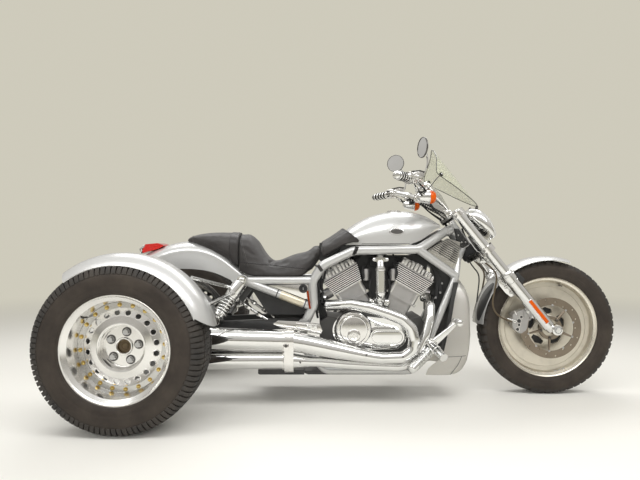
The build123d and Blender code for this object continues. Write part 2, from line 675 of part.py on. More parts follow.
def risers():
    """The alloy riser that carries the bar and the instrument pod on the upper clamp."""
    outline = [(450, 860), (474, 880), (404, 932), (348, 986), (308, 984), (304, 950), (344, 926)]
    beam = side_plate(outline, -40, 40)
    return chamfer(beam.edges().filter_by(Axis.Y).sort_by(Axis.X)[:2], 8)


def gauge_pod():
    """The long polished instrument pod on the riser, widest at the dials and pointed at the lamp."""
    lean = (-0.64, 0, 0.768)
    rows = [  # centre X and Z, half width, half thickness
        (461, 881, 34, 10),
        (394, 941, 66, 24),
        (334, 1006, 74, 28),
    ]
    sections = []
    for x, z, half, thick in rows:
        sections.append(Plane(origin=(x, 0, z), x_dir=(0, 1, 0), z_dir=lean) * Ellipse(half, thick))
    return loft(sections)


def bar_end_way():
    """The direction in which the right half of the handlebar ends."""
    return (Vector(*BAR_HALF[-1]) - Vector(*BAR_HALF[-2])).normalized()


def grips():
    """Both hand grips with their chrome rings and end caps."""
    end, along = Vector(*BAR_HALF[-1]), bar_end_way()
    start = end - along * GRIP_LENGTH
    grip = rod(start, end + along * 12, 18)
    for share in (0.0, 0.25, 0.5, 0.75, 1.0):
        at = start + (end - start) * share
        grip += rod(at - along * 5, at + along * 5, 20.5)
    grip -= rod(start - along * 8, end, BAR_R)
    return both_sides(grip)


def controls():
    """Switch housings, master cylinders and levers at each end of the bar."""
    along = bar_end_way()
    at = Vector(*BAR_HALF[-1]) - along * (GRIP_LENGTH + 52)
    housing = rod(at + along * 2, at + along * 44, 27)
    ahead = Vector(-along.Y, along.X, 0).normalized()
    reservoir = Plane(origin=tuple(at + ahead * 26 - Vector(0, 0, 12)), x_dir=tuple(along), z_dir=(0, 0, 1))
    housing += extrude(reservoir * RectangleRounded(62, 42, 9), 36)
    lever_root = at + ahead * 40 + along * 20
    lever_tip = at + ahead * 52 + along * 160
    housing += rod(lever_root, lever_tip, 7, 5) + Pos(*lever_tip) * Sphere(9)
    return both_sides(housing)


def mirrors():
    """Two round mirrors on thin stems from the bar, each turned its own way."""
    rows = [  # centre of the glass, which way it faces, the stem's points from the bar
        ((283, -232, 1161), (-0.957, -0.29, 0.02),
         [(272, -226, 1004), (298, -229, 1044), (314, -230, 1110), (300, -231, 1156)]),
        ((233, 232, 1174), (-0.36, -0.93, 0.05),
         [(272, 226, 1004), (292, 230, 1050), (286, 238, 1126), (241, 244, 1171)]),
    ]
    parts = []
    for centre, face, stem in rows:
        middle, way = Vector(*centre), Vector(*face).normalized()
        head = rod(middle, middle - way * 16, 45, 29)
        parts.append(head + tube(stem, 5, [24, 50]))
    return parts


def indicators():
    """Two bullet indicators under the bar, each a chrome shell and an amber lens."""
    shells, lenses = [], []
    for side in (-1, 1):
        y = side * 190
        shell = rod((266, y, 942), (322, y, 942), 16, 31)
        shell += rod((286, y, 950), (298, y, 992), 7)
        lens = rod((322, y, 942), (342, y, 942), 31, 24)
        shells.append(shell)
        lenses.append(lens)
    return shells, lenses


def windscreen():
    """The small clear screen: a thin curved sheet, rounded at its top and pointed at the lamp."""
    base, top = Vector(603, 0, 919), Vector(379, 0, 1197)
    up = (top - base).normalized()
    out = Vector(up.Z, 0, -up.X)
    bend_r = 215.0
    centre = base + (top - base) * 0.5 - out * bend_r
    roll = Plane(origin=tuple(centre), x_dir=tuple(out), z_dir=tuple(up))
    sheet = extrude(roll * (Circle(bend_r) - Circle(bend_r - 3.5)), 200, both=True)
    front = Plane(origin=tuple(base + (top - base) * 0.5), x_dir=(0, 1, 0), z_dir=tuple(out))
    outline = make_face(
        Wire([
            ThreePointArc((-40, -178), (0, -186), (40, -178)),
            ThreePointArc((40, -178), (125, -80), (172, 20)),
            ThreePointArc((172, 20), (128, 140), (0, 178)),
            ThreePointArc((0, 178), (-128, 140), (-172, 20)),
            ThreePointArc((-172, 20), (-125, -80), (-40, -178)),
        ])
    )
    return sheet & extrude(front * outline, 200, both=True)


# ---------------------------------------------------------------- carriers, inner pieces and small fittings
def axle_carrier():
    """The fixed back axle: two arms from the pivot, the axle tube, its chain case and the wheel spindles."""
    carrier = rod((-252, -129, 350), (-252, 129, 350), 16)
    for side in (-1, 1):
        arm = [(-240, 328), (-240, 372), (-300, 378), (-900, 352), (-934, 340), (-934, 300), (-900, 298), (-300, 330)]
        carrier += side_plate(arm, side * 110 - 17, side * 110 + 17)
        carrier += rod((-645, side * 110, 362), (-645, side * 236, 382), 15)
    carrier += ring((REAR_X, 0, AXLE_Z), (0, 1, 0), AXLE_TUBE_R, 0, 2 * (REAR_Y - 60))
    carrier += ring((REAR_X, 0, AXLE_Z), (0, 1, 0), 112, 0, 84)
    carrier += ring((REAR_X, 0, AXLE_Z), (0, 1, 0), 74, 0, 150)
    for side in (-1, 1):
        carrier += ring((REAR_X, side * (REAR_Y - 33), AXLE_Z), (0, 1, 0), SPINDLE_R, 0, 56)
        y = side * (REAR_Y - 38)
        grip = side_plate([(-1086, 372), (-1040, 372), (-1040, 278), (-1086, 278)], y - 24, y + 24)
        grip -= side_plate([(-1100, 390), (-1000, 390), (-1000, 260), (-1100, 260)], y - 10, y + 10)
        bridge = side_plate([(-1086, 372), (-1079, 372), (-1079, 278), (-1086, 278)], y - 24, y + 24)
        plate_low, plate_high = sorted((y - side * 24, y - side * 34))
        bracket = side_plate([(-1086, 372), (-920, 345), (-920, 305), (-1086, 278)], plate_low, plate_high)
        carrier += grip + bridge + bracket
    return carrier


def shocks():
    """Two coil-over shock absorbers, modelled as closed units with their end eyes."""
    both = []
    for side in (-1, 1):
        top, low = Vector(-534, side * 190, 561), Vector(-645, side * 250, 382)
        along = (low - top).normalized()
        unit = rod(top + along * 14, top + along * 92, 27)
        unit += rod(top + along * 88, low - along * 24, 24)
        for i in range(6):
            at = top + along * (100 + 15 * i)
            unit += rod(at - along * 3.5, at + along * 3.5, 31)
        unit += rod(low - along * 40, low, 9)
        unit += ring(tuple(top), (0, 1, 0), 20, 0, 30) + ring(tuple(low), (0, 1, 0), 21, 0, 28)
        unit += rod((-534, side * 168, 561), (-534, side * 176, 561), 14)
        both += unit.solids()
    return Compound(children=both)


def frame_covers():
    """The louvred neck covers and the polished triangular covers below the seat rails."""
    side = side_plate([(-420, 535), (-232, 535), (-232, 468)], -146, -134)
    return Compound(children=[*neck_covers().solids(), *both_sides(side).solids()])


def battery_box():
    """The black battery and electrics box between the seat rails."""
    box = side_plate([(-500, 556), (-220, 556), (-220, 440), (-262, 396), (-420, 396), (-500, 520)], -126, 126)
    return box


def belly_tray():
    """The black tray below the cradle, its box behind it and the flat jacking pad under its middle."""
    tray = side_plate([(-262, 124), (-232, 112), (230, 112), (268, 124), (268, 130), (-262, 130)], -118, 118)
    tray += side_plate([(-465, 123), (-456, 119), (-250, 119), (-250, 142), (-465, 142)], -150, 150)
    pad = side_plate([(-60, 104), (60, 104), (60, 114), (-60, 114)], -50, 50)
    return tray + pad


def radiator():
    """The dark radiator core behind the cowl's mouth."""
    return side_plate([(412, 182), (440, 508), (458, 508), (430, 182)], -120, 120)


def foot_controls():
    """Forward pegs and pedals: the brake on the right, the gear lever on the left."""
    side = rod((322, -150, 256), (332, -206, 246), 15)
    side += rod((332, -196, 246), (224, -288, 176), 22)
    side += rod((323, -190, 278), (365, -300, 228), 19)
    side += rod((326, -196, 240), (326, -196, 282), 15)
    side += rod((333, -214, 284), (446, -216, 374), 8)
    side += rod((446, -200, 374), (446, -262, 372), 13)
    return both_sides(side)


def screen_mounts():
    """The foot that holds the small screen over the lamp and the two struts from the bar."""
    foot = side_plate([(548, 880), (600, 884), (614, 922), (596, 948), (566, 910)], -14, 14)
    strut = rod((404, -120, 1046), (322, -104, 970), 6)
    return Compound(children=[*foot.solids(), *both_sides(strut).solids()])


def brake_hoses():
    """The two front brake hoses, from the lower clamp down to the calipers."""
    runs = [(628, -92, 668), (664, -98, 640), (676, -100, 596), (664, -98, 548), (676, -94, 498),
            (716, -90, 458), (764, -90, 430)]
    hose = tube(runs, 4.5, [36, 50, 60, 50, 50])
    return both_sides(hose)


# ---------------------------------------------------------------- assembly
def carve(shape, *others):
    """The shape without what its neighbours fill, so that they meet face to face."""
    for other in others:
        shape = shape - other
    return shape


def largest(shape):
    """The biggest solid of a shape, once a cut has left crumbs."""
    return max(shape.solids(), key=lambda solid: solid.volume)


def build_wheels():
    """Fills MADE with the three wheels."""
    front = tyre_profile(FRONT_TYRE_W / 2, FRONT_BEAD_R, FRONT_LIP_R, 300, 280)
    back = tyre_profile(REAR_TYRE_W / 2, REAR_BEAD_R, REAR_LIP_R, 292, 262)
    rim = keep("front_rim", front_rim())
    keep("front_tyre", carve(wheel_turn(front, FRONT_X, 0), rim))
    keep("front_rotors", carve(front_rotors(), rim))
    for name, side in (("right", -1), ("left", 1)):
        rim = keep(f"rear_rim_{name}", rear_rim(side * REAR_Y))
        keep(f"rear_tyre_{name}", carve(wheel_turn(back, REAR_X, side * REAR_Y), rim))
        keep(f"rear_hub_{name}", carve(rear_hub(side * REAR_Y), rim))


def build_chassis():
    """Fills MADE with the frame and all that is fixed to it."""
    rails = keep("frame", frame())
    case = keep("crankcase", carve(crankcase(), rails))
    rear = keep("cylinder_rear", carve(cylinder(-1), case, rails))
    front = keep("cylinder_front", carve(cylinder(1), case, rear, rails))
    covers = [carve(side, case, rear, front) for side in (right_covers() + intake_tower(), left_covers())]
    keep("engine_covers", Compound(children=[s for c in covers for s in c.solids()]))
    rear_pipe = keep("exhaust_rear", carve(rear_exhaust(), rear))
    front_pipe = keep("exhaust_front", carve(front_exhaust(), front))
    cans = keep("mufflers", mufflers())
    keep("muffler_clamp", carve(muffler_clamp((rear_pipe, front_pipe)), rails, cans))
    tank = keep("tank_cover", carve(tank_cover(), rails))
    keep("airbox", carve(airbox(), rails, rear, front, front_pipe, tank))
    cushion = keep("seat_rider", carve(seat(), rails, tank))
    tail = loft([dome(*row) for row in TAIL_ROWS])
    back_cushion = keep("seat_pillion", carve(pillion(), cushion, rails, tail))
    keep("tank_pouch", largest(carve(tank_pouch(), tank, rails, cushion, MADE["airbox"])))
    shell = keep("tail_body", carve(tail_body(), rails, cushion, back_cushion))
    keep("tail_lamp", largest(carve(tail_lamp(), shell)))
    fenders = [rear_fender(-1), rear_fender(1)]
    keep("rear_fenders", Compound(children=[s for f in fenders for s in f.solids()]))
    carrier = keep("axle_carrier", carve(axle_carrier(), rails))
    absorbers = keep("shocks", carve(shocks(), rails, carrier))
    keep("fender_stays", carve(fender_stays(), rails, absorbers, *fenders, shell))
    keep("frame_covers", carve(frame_covers(), rails))
    keep("battery_box", carve(battery_box(), rails, cushion, MADE["frame_covers"]))
    keep("belly_tray", carve(belly_tray(), rails))
    shroud = keep("radiator_shroud", carve(radiator_shroud(), rails))
    keep("radiator", carve(radiator(), shroud, rails))
    keep("foot_controls", carve(foot_controls(), rails, front_pipe, shroud))


def build_fork():
    """Fills MADE with everything that turns with the handlebar."""
    clamps = keep("triple_clamps", triple_clamps())
    legs = keep("fork_legs", fork_legs())
    keep("front_axle", carve(front_axle(), legs))
    keep("calipers", calipers())
    keep("front_fender", carve(front_fender(), legs))
    lamp, lens = headlamp()
    keep("headlamp_shell", carve(lamp, clamps, legs))
    keep("headlamp_lens", lens)
    beam = keep("riser", carve(risers(), clamps))
    bar = keep("handlebar", carve(handlebar(), beam))
    keep("gauge_pod", carve(gauge_pod(), beam, clamps, bar))
    keep("grips", carve(grips(), bar))
    keep("hand_controls", carve(controls(), MADE["grips"], bar))
    heads = [carve(head, MADE["hand_controls"], bar) for head in mirrors()]
    keep("mirrors", Compound(children=[largest(head) for head in heads]))
    shells, lenses = indicators()
    keep("indicators", Compound(children=[s for x in shells for s in carve(x, bar).solids()]))
    keep("indicator_lenses", Compound(children=[s for x in lenses for s in x.solids()]))
    screen = keep("windscreen", windscreen())
    keep("screen_mounts", carve(screen_mounts(), screen, MADE["headlamp_shell"], bar, clamps, MADE["gauge_pod"]))
    keep("brake_hoses", carve(brake_hoses(), clamps, legs, MADE["calipers"], MADE["front_fender"]))


def main():
    """Makes every sub-part and writes it to parts/NODE.step."""
    build_wheels()
    build_chassis()
    build_fork()
    os.makedirs("parts", exist_ok=True)
    for name, shape in MADE.items():
        shape.label = name
        export_step(shape, f"parts/{name}.step")


main()
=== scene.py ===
"""Looks for the motorized trike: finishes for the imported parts, and the finer pieces that dress them."""

from __future__ import annotations

import logging
import math
from collections.abc import Callable, Iterable, Sequence
from dataclasses import dataclass, field
from enum import Enum

import bmesh
import bpy
from mathutils import Matrix, Vector
from mathutils.bvhtree import BVHTree


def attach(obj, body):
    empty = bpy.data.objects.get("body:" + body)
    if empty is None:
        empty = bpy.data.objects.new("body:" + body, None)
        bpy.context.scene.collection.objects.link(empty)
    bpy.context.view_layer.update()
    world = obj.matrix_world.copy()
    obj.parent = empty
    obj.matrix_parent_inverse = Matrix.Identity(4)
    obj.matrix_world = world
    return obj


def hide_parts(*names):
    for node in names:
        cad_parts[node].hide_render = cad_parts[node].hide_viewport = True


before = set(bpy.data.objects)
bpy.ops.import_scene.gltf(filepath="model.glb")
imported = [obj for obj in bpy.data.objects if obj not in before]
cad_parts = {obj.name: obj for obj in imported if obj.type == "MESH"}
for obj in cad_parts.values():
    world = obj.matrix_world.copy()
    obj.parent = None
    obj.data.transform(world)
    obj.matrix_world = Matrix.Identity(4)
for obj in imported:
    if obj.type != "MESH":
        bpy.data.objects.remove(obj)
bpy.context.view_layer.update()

LOG = logging.getLogger("trike")
MM = 0.001
AXLE_HEIGHT = 0.325
REAR_X = -0.934
FRONT_X = 0.934
REAR_Y = 0.543
ORIGIN = Vector((0.0, 0.0, 0.0))

Mesh = bmesh.types.BMesh
Socket = bpy.types.NodeSocket
Outline = Sequence[tuple[float, float]]


class Body(str, Enum):
    """The rigid bodies that pieces ride on."""

    CHASSIS = "chassis"
    FORK = "fork"
    FRONT_WHEEL = "front_wheel"
    REAR_RIGHT = "rear_wheel_right"
    REAR_LEFT = "rear_wheel_left"


class Side(int, Enum):
    """The two sides of the machine; the right has negative Y."""

    RIGHT = -1
    LEFT = 1

    @property
    def label(self) -> str:
        """The side's name in a piece's name."""
        return self.name.lower()


# ---------------------------------------------------------------- node graphs and finishes
def spread(ramp: bpy.types.Node, stops: Sequence[tuple[float, Sequence[float]]]) -> None:
    """Sets a colour ramp's stops.

    Args:
        ramp: The colour ramp's node.
        stops: Position and colour of each stop.
    """
    band = ramp.color_ramp
    while len(band.elements) < len(stops):
        band.elements.new(0.5)
    for element, (at, colour) in zip(band.elements, stops):
        element.position = at
        element.color = (*colour, 1.0)


class Graph:
    """A short way to build a material's node tree."""

    def __init__(self, name: str) -> None:
        """Starts an empty material with an output and a principled shader.

        Args:
            name: The material's name.
        """
        self.material = bpy.data.materials.new(name)
        self.material.use_nodes = True
        self.tree = self.material.node_tree
        self.tree.nodes.clear()
        self.output = self.tree.nodes.new("ShaderNodeOutputMaterial")
        self.shader = self.tree.nodes.new("ShaderNodeBsdfPrincipled")
        self.link(self.shader.outputs["BSDF"], self.output.inputs["Surface"])

    def node(self, kind: str, inputs: dict[str, object] | None = None, **settings: object) -> bpy.types.Node:
        """Adds a node, sets its attributes and fills its inputs.

        Args:
            kind: The node's type name without the ShaderNode prefix.
            inputs: A socket to plug in or a constant, for each input by name.
            **settings: Attributes of the node, by name.

        Returns:
            The new node.
        """
        made = self.tree.nodes.new(f"ShaderNode{kind}")
        for key, value in settings.items():
            setattr(made, key, value)
        for key, value in (inputs or {}).items():
            if isinstance(value, Socket):
                self.link(value, made.inputs[key])
            else:
                made.inputs[key].default_value = value
        return made

    def link(self, start: Socket, end: Socket) -> None:
        """Joins two sockets."""
        self.tree.links.new(start, end)

    def place(self, stretch: Sequence[float] = (1.0, 1.0, 1.0)) -> Socket:
        """Object coordinates through a mapping.

        Args:
            stretch: The scale along each axis.

        Returns:
            The mapped vector's socket.
        """
        source = self.node("TexCoord").outputs["Object"]
        return self.node("Mapping", {"Scale": stretch, "Vector": source}).outputs["Vector"]

    def noise(
        self, size: float, detail: float = 4.0, rough: float = 0.5, vector: Socket | None = None
    ) -> Socket:
        """A noise pattern.

        Args:
            size: The number of patches per metre.
            detail: The number of octaves.
            rough: How strong the fine octaves are.
            vector: Where the pattern is read, or None for Object coordinates.

        Returns:
            The pattern's value socket.
        """
        inputs = {"Scale": size, "Detail": detail, "Roughness": rough, "Vector": vector or self.place()}
        return self.node("TexNoise", inputs).outputs["Fac"]

    def ramp(self, value: Socket, stops: Sequence[tuple[float, Sequence[float]]]) -> Socket:
        """Maps a value to colours.

        Args:
            value: The value's socket.
            stops: Position and colour of each stop.

        Returns:
            The colour's socket.
        """
        made = self.node("ValToRGB", {"Fac": value})
        spread(made, stops)
        return made.outputs["Color"]

    def span(self, value: Socket, low: float, high: float, start: float = 0.0, end: float = 1.0) -> Socket:
        """Maps a value from one range to another.

        Args:
            value: The value's socket.
            low: The result at the start.
            high: The result at the end.
            start: The value that gives low.
            end: The value that gives high.

        Returns:
            The mapped value's socket.
        """
        inputs = {"From Min": start, "From Max": end, "To Min": low, "To Max": high, "Value": value}
        return self.node("MapRange", inputs).outputs["Result"]

    def bump(
        self, height: Socket, depth: float, strength: float = 1.0, under: Socket | None = None
    ) -> Socket:
        """A bump over the surface.

        Args:
            height: The height's socket, from 0 to 1.
            depth: The height of 1, in metres.
            strength: How much of the bump shows.
            under: A normal to add it to, if any.

        Returns:
            The normal's socket.
        """
        inputs = {"Distance": depth, "Strength": strength, "Height": height}
        if under is not None:
            inputs["Normal"] = under
        return self.node("Bump", inputs).outputs["Normal"]

    def skin(self, tint: Socket, rough: Socket, normal: Socket) -> None:
        """Plugs patterns into the shader's colour, roughness and normal."""
        for source, name in ((tint, "Base Color"), (rough, "Roughness"), (normal, "Normal")):
            self.link(source, self.shader.inputs[name])

    def set(self, **sockets: float | Sequence[float]) -> None:
        """Sets the shader's own sockets. An underscore in a name stands for a space."""
        for key, value in sockets.items():
            socket = self.shader.inputs[key.replace("_", " ")]
            if isinstance(value, (tuple, list)) and len(value) == 3 and socket.type == "RGBA":
                value = (*value, 1.0)
            socket.default_value = value


@dataclass(frozen=True)
class Finish:
    """What every finish has: a name, a colour and the record's slot that it stands for."""

    name: str
    slot: str
    colour: tuple[float, float, float]

    def build(self) -> bpy.types.Material:
        """Makes the material once, and returns the same one after that."""
        known = bpy.data.materials.get(self.name)
        if known is not None:
            return known
        graph = Graph(self.name)
        self.paint(graph)
        return graph.material

    def paint(self, graph: Graph) -> None:
        """Fills the node tree.

        Args:
            graph: The material's graph.
        """
        graph.set(Base_Color=self.colour)


@dataclass(frozen=True)
class Paint(Finish):
    """Metallic paint under a clear coat, with a fine flake and a little dust."""

    rough: float = 0.30

    def paint(self, graph: Graph) -> None:
        """Fills the node tree.

        Args:
            graph: The material's graph.
        """
        c = Vector(self.colour)
        broad = graph.noise(3.0, 3.0)
        fine = graph.noise(2600.0, 1.0)
        graph.skin(
            graph.ramp(broad, [(0.35, c * 0.965), (0.65, c)]),
            graph.span(fine, self.rough - 0.05, self.rough + 0.07), graph.bump(fine, 0.00002, 0.12)
        )
        graph.set(Metallic=0.55, Coat_Weight=0.8, Coat_Roughness=0.06)


@dataclass(frozen=True)
class BrightMetal(Finish):
    """Chrome or polished alloy, with faint smears and waviness."""

    rough: float = 0.05
    smear: float = 0.06
    wave: float = 0.0006
    brushed: bool = False

    def paint(self, graph: Graph) -> None:
        """Fills the node tree.

        Args:
            graph: The material's graph.
        """
        c = Vector(self.colour)
        smear = graph.noise(14.0, 5.0, 0.6)
        stretch = (1.0, 40.0, 40.0) if self.brushed else (1.0, 1.0, 1.0)
        lines = graph.noise(90.0 if self.brushed else 20.0, 3.0, 0.6, graph.place(stretch))
        graph.skin(
            graph.ramp(smear, [(0.3, c * 0.93), (0.7, c)]),
            graph.span(smear, self.rough, self.rough + self.smear, 0.35, 0.75),
            graph.bump(lines, self.wave, 0.10)
        )
        graph.set(Metallic=1.0)


@dataclass(frozen=True)
class CastMetal(Finish):
    """Satin cast alloy with a fine grain and patches of grime."""

    rough: float = 0.34
    grain: float = 900.0
    grain_depth: float = 0.00008
    metal: float = 0.9
    grime: float = 0.85

    def paint(self, graph: Graph) -> None:
        """Fills the node tree.

        Args:
            graph: The material's graph.
        """
        c = Vector(self.colour)
        broad = graph.noise(16.0, 5.0, 0.6)
        grain = graph.noise(self.grain, 2.0)
        graph.skin(
            graph.ramp(broad, [(0.3, c * self.grime), (0.62, c)]),
            graph.span(broad, self.rough, self.rough + 0.12), graph.bump(grain, self.grain_depth, 0.5)
        )
        graph.set(Metallic=self.metal)


@dataclass(frozen=True)
class Leather(Finish):
    """Black leather with a pebbled grain, a soft sheen and rubbed patches."""

    grain: float = 620.0
    rough: float = 0.42
    crease: float = 0.0

    def paint(self, graph: Graph) -> None:
        """Fills the node tree.

        Args:
            graph: The material's graph.
        """
        c = Vector(self.colour)
        cells = graph.node("TexVoronoi", {"Scale": self.grain, "Vector": graph.place()}, feature="SMOOTH_F1")
        wear = graph.noise(9.0, 5.0, 0.62)
        tint = graph.ramp(wear, [(0.35, c), (0.72, c * 1.7 + Vector((0.006, 0.005, 0.005)))])
        pebbles = graph.bump(cells.outputs["Distance"], 0.0003, 0.35)
        if self.crease:
            folds = graph.noise(38.0, 3.0, 0.5, graph.place((1.0, 0.5, 2.2)))
            pebbles = graph.bump(folds, self.crease, 0.8, pebbles)
        graph.skin(tint, graph.span(wear, self.rough, self.rough + 0.16), pebbles)
        graph.set(Specular_IOR_Level=0.45, Sheen_Weight=0.12, Sheen_Roughness=0.4)


@dataclass(frozen=True)
class Rubber(Finish):
    """Tyre or grip rubber, dusty and slightly brown."""

    rough: float = 0.62
    dust: float = 0.35

    def paint(self, graph: Graph) -> None:
        """Fills the node tree.

        Args:
            graph: The material's graph.
        """
        c = Vector(self.colour)
        dusty = c.lerp(Vector((0.16, 0.13, 0.10)), self.dust)
        patches = graph.noise(11.0, 6.0, 0.62)
        fine = graph.noise(420.0, 3.0, 0.6)
        graph.skin(
            graph.ramp(patches, [(0.32, c), (0.78, dusty)]),
            graph.span(patches, self.rough - 0.08, self.rough + 0.12), graph.bump(fine, 0.00012, 0.4)
        )
        graph.set(Specular_IOR_Level=0.4)


@dataclass(frozen=True)
class Satin(Finish):
    """Black paint or moulded plastic with a fine grain."""

    rough: float = 0.4
    grain: float = 700.0
    coat: float = 0.0
    metal: float = 0.0

    def paint(self, graph: Graph) -> None:
        """Fills the node tree.

        Args:
            graph: The material's graph.
        """
        c = Vector(self.colour)
        dust = graph.noise(13.0, 5.0, 0.6)
        fine = graph.noise(self.grain, 2.0)
        graph.skin(
            graph.ramp(dust, [(0.35, c), (0.8, c * 1.5 + Vector((0.01, 0.009, 0.008)))]),
            graph.span(dust, self.rough - 0.04, self.rough + 0.12), graph.bump(fine, 0.0001, 0.3)
        )
        graph.set(Metallic=self.metal, Coat_Weight=self.coat, Coat_Roughness=0.1)


@dataclass(frozen=True)
class Clear(Finish):
    """A thin clear or tinted sheet or lens."""

    alpha: float = 0.3
    rough: float = 0.03
    glow: float = 0.0
    facets: float = 0.0
    gloss: float = 0.5

    def paint(self, graph: Graph) -> None:
        """Fills the node tree.

        Args:
            graph: The material's graph.
        """
        haze = graph.noise(6.0, 4.0)
        graph.link(graph.span(haze, self.rough, self.rough + 0.05), graph.shader.inputs["Roughness"])
        graph.set(
            Base_Color=self.colour, Alpha=self.alpha, IOR=1.49, Specular_IOR_Level=self.gloss,
            Coat_Weight=self.gloss, Coat_Roughness=0.02
        )
        if self.facets:
            inputs = {"Scale": self.facets, "Vector": graph.place()}
            prism = graph.node("TexVoronoi", inputs, feature="F1", distance="CHEBYCHEV")
            graph.link(graph.bump(prism.outputs["Distance"], 0.002, 0.6), graph.shader.inputs["Normal"])
        if self.glow:
            graph.set(Emission_Color=self.colour, Emission_Strength=self.glow)
        graph.material.surface_render_method = "DITHERED"


class Finishes:
    """Every finish on the machine."""

    silver = Paint("silver_metallic_paint", "silver_paint", (0.60, 0.60, 0.59))
    cowl_silver = Paint("cowl_silver_paint", "silver_paint", (0.80, 0.78, 0.735), rough=0.4)
    frame_silver = Paint("frame_silver_paint", "silver_paint", (0.54, 0.54, 0.53), rough=0.34)
    cream = Paint("rail_band_cream", "silver_paint", (0.66, 0.60, 0.46), rough=0.36)
    # painted shade and reflection: the dark leaf laid on the front fender's silver flap
    fender_shade_charcoal = Paint("painted_fender_shade", "silver_paint", (0.085, 0.085, 0.085), rough=0.30)
    chrome = BrightMetal("chrome_plate", "chrome", (0.80, 0.80, 0.79), rough=0.03)
    polished = BrightMetal("polished_metal", "polished_alloy", (0.80, 0.79, 0.77), rough=0.12, smear=0.1)
    wheel_alloy = BrightMetal(
        "turned_wheel_alloy", "polished_alloy", (0.82, 0.81, 0.79), rough=0.15, smear=0.1
    )
    ring_alloy = BrightMetal("rim_ring_alloy", "polished_alloy", (0.60, 0.595, 0.58), rough=0.22, smear=0.1)
    gold = BrightMetal("gold_bolts", "polished_alloy", (0.62, 0.47, 0.17), rough=0.2)
    brass = BrightMetal("brown_brass", "polished_alloy", (0.15, 0.115, 0.075), rough=0.34, smear=0.15)
    mirror = BrightMetal("mirror_glass", "chrome", (0.86, 0.87, 0.88), rough=0.01, smear=0.01, wave=0.0)
    fork_alloy = BrightMetal(
        "fork_metal", "fork_alloy", (0.74, 0.74, 0.73), rough=0.22, smear=0.1, brushed=True
    )
    cast = CastMetal("cast_disc_alloy", "cast_alloy", (0.72, 0.675, 0.58), rough=0.30)
    cast_bright = CastMetal("turned_disc_lip", "cast_alloy", (0.80, 0.76, 0.67), rough=0.2)
    bright_cast = CastMetal("bright_cast_alloy", "engine_silver", (0.72, 0.71, 0.69), rough=0.22)
    engine = CastMetal("engine_silver_paint", "engine_silver", (0.46, 0.45, 0.44), rough=0.36, metal=0.75)
    engine_bright = CastMetal("machined_engine_edge", "engine_silver", (0.70, 0.69, 0.67), rough=0.24)
    fins = CastMetal("fin_edges", "engine_silver", (0.86, 0.84, 0.80), rough=0.32, metal=0.25)
    engine_dark = CastMetal("engine_grey_paint", "engine_silver", (0.10, 0.098, 0.095), rough=0.42, metal=0.6)
    steel = CastMetal(
        "brake_steel", "brake_steel", (0.50, 0.49, 0.47), rough=0.25, grain=1500.0, grain_depth=0.00003
    )
    rotor = CastMetal(
        "rotor_steel", "brake_steel", (0.27, 0.225, 0.175), rough=0.3, grain=1500.0, grain_depth=0.00003
    )
    dark_steel = CastMetal(
        "dark_steel", "brake_steel", (0.13, 0.125, 0.12), rough=0.32, grain=1200.0, grain_depth=0.00003
    )
    black = Satin("satin_black_paint", "black_paint", (0.018, 0.018, 0.018), coat=0.3)
    plastic = Satin("moulded_black_plastic", "black_plastic", (0.022, 0.022, 0.022), rough=0.55)
    core = Satin("radiator_fins", "radiator_black", (0.025, 0.025, 0.025), rough=0.5)
    leather = Leather("black_seat_leather", "black_leather", (0.024, 0.022, 0.021), crease=0.0016)
    leather_trim = Leather("leather_trim", "black_leather", (0.017, 0.0155, 0.015), grain=500.0, rough=0.36)
    thread = Leather("stitching_thread", "black_leather", (0.075, 0.07, 0.064), grain=2400.0, rough=0.6)
    tyre = Rubber("tyre_rubber", "tyre", (0.020, 0.0145, 0.011), dust=0.22)
    tread = Rubber("tread_rubber", "tyre", (0.024, 0.0225, 0.0215), dust=0.25, rough=0.7)
    brown_hose = Rubber("brake_hose", "hose_rubber", (0.10, 0.075, 0.045), dust=0.1, rough=0.4)
    grip = Rubber("grip_rubber", "black_rubber", (0.015, 0.015, 0.015), dust=0.1, rough=0.5)
    hose = Rubber("hose_rubber", "hose_rubber", (0.012, 0.012, 0.012), dust=0.1, rough=0.42)
    lens = Clear("lamp_lens", "clear_lens", (0.9, 0.9, 0.9), alpha=0.45, facets=70.0)
    amber = Clear(
        "amber_plastic", "amber_lens", (0.64, 0.098, 0.006), alpha=1.0, rough=0.15, glow=0.03, facets=120.0,
        gloss=0.1
    )
    amber_dark = Clear(
        "amber_reflector", "amber_lens", (0.22, 0.03, 0.005), alpha=1.0, rough=0.2, facets=260.0, gloss=0.1
    )
    red = Clear("red_lens", "clear_lens", (0.55, 0.02, 0.015), alpha=1.0, rough=0.1, glow=0.05, facets=150.0)
    dial = Satin("dial_face", "black_plastic", (0.012, 0.012, 0.014), rough=0.18, coat=0.8)
    screen = Clear("smoked_screen", "screen", (0.66, 0.68, 0.50), alpha=0.26)
    screen_edge = Clear("screen_edge", "screen", (0.10, 0.10, 0.085), alpha=0.9)


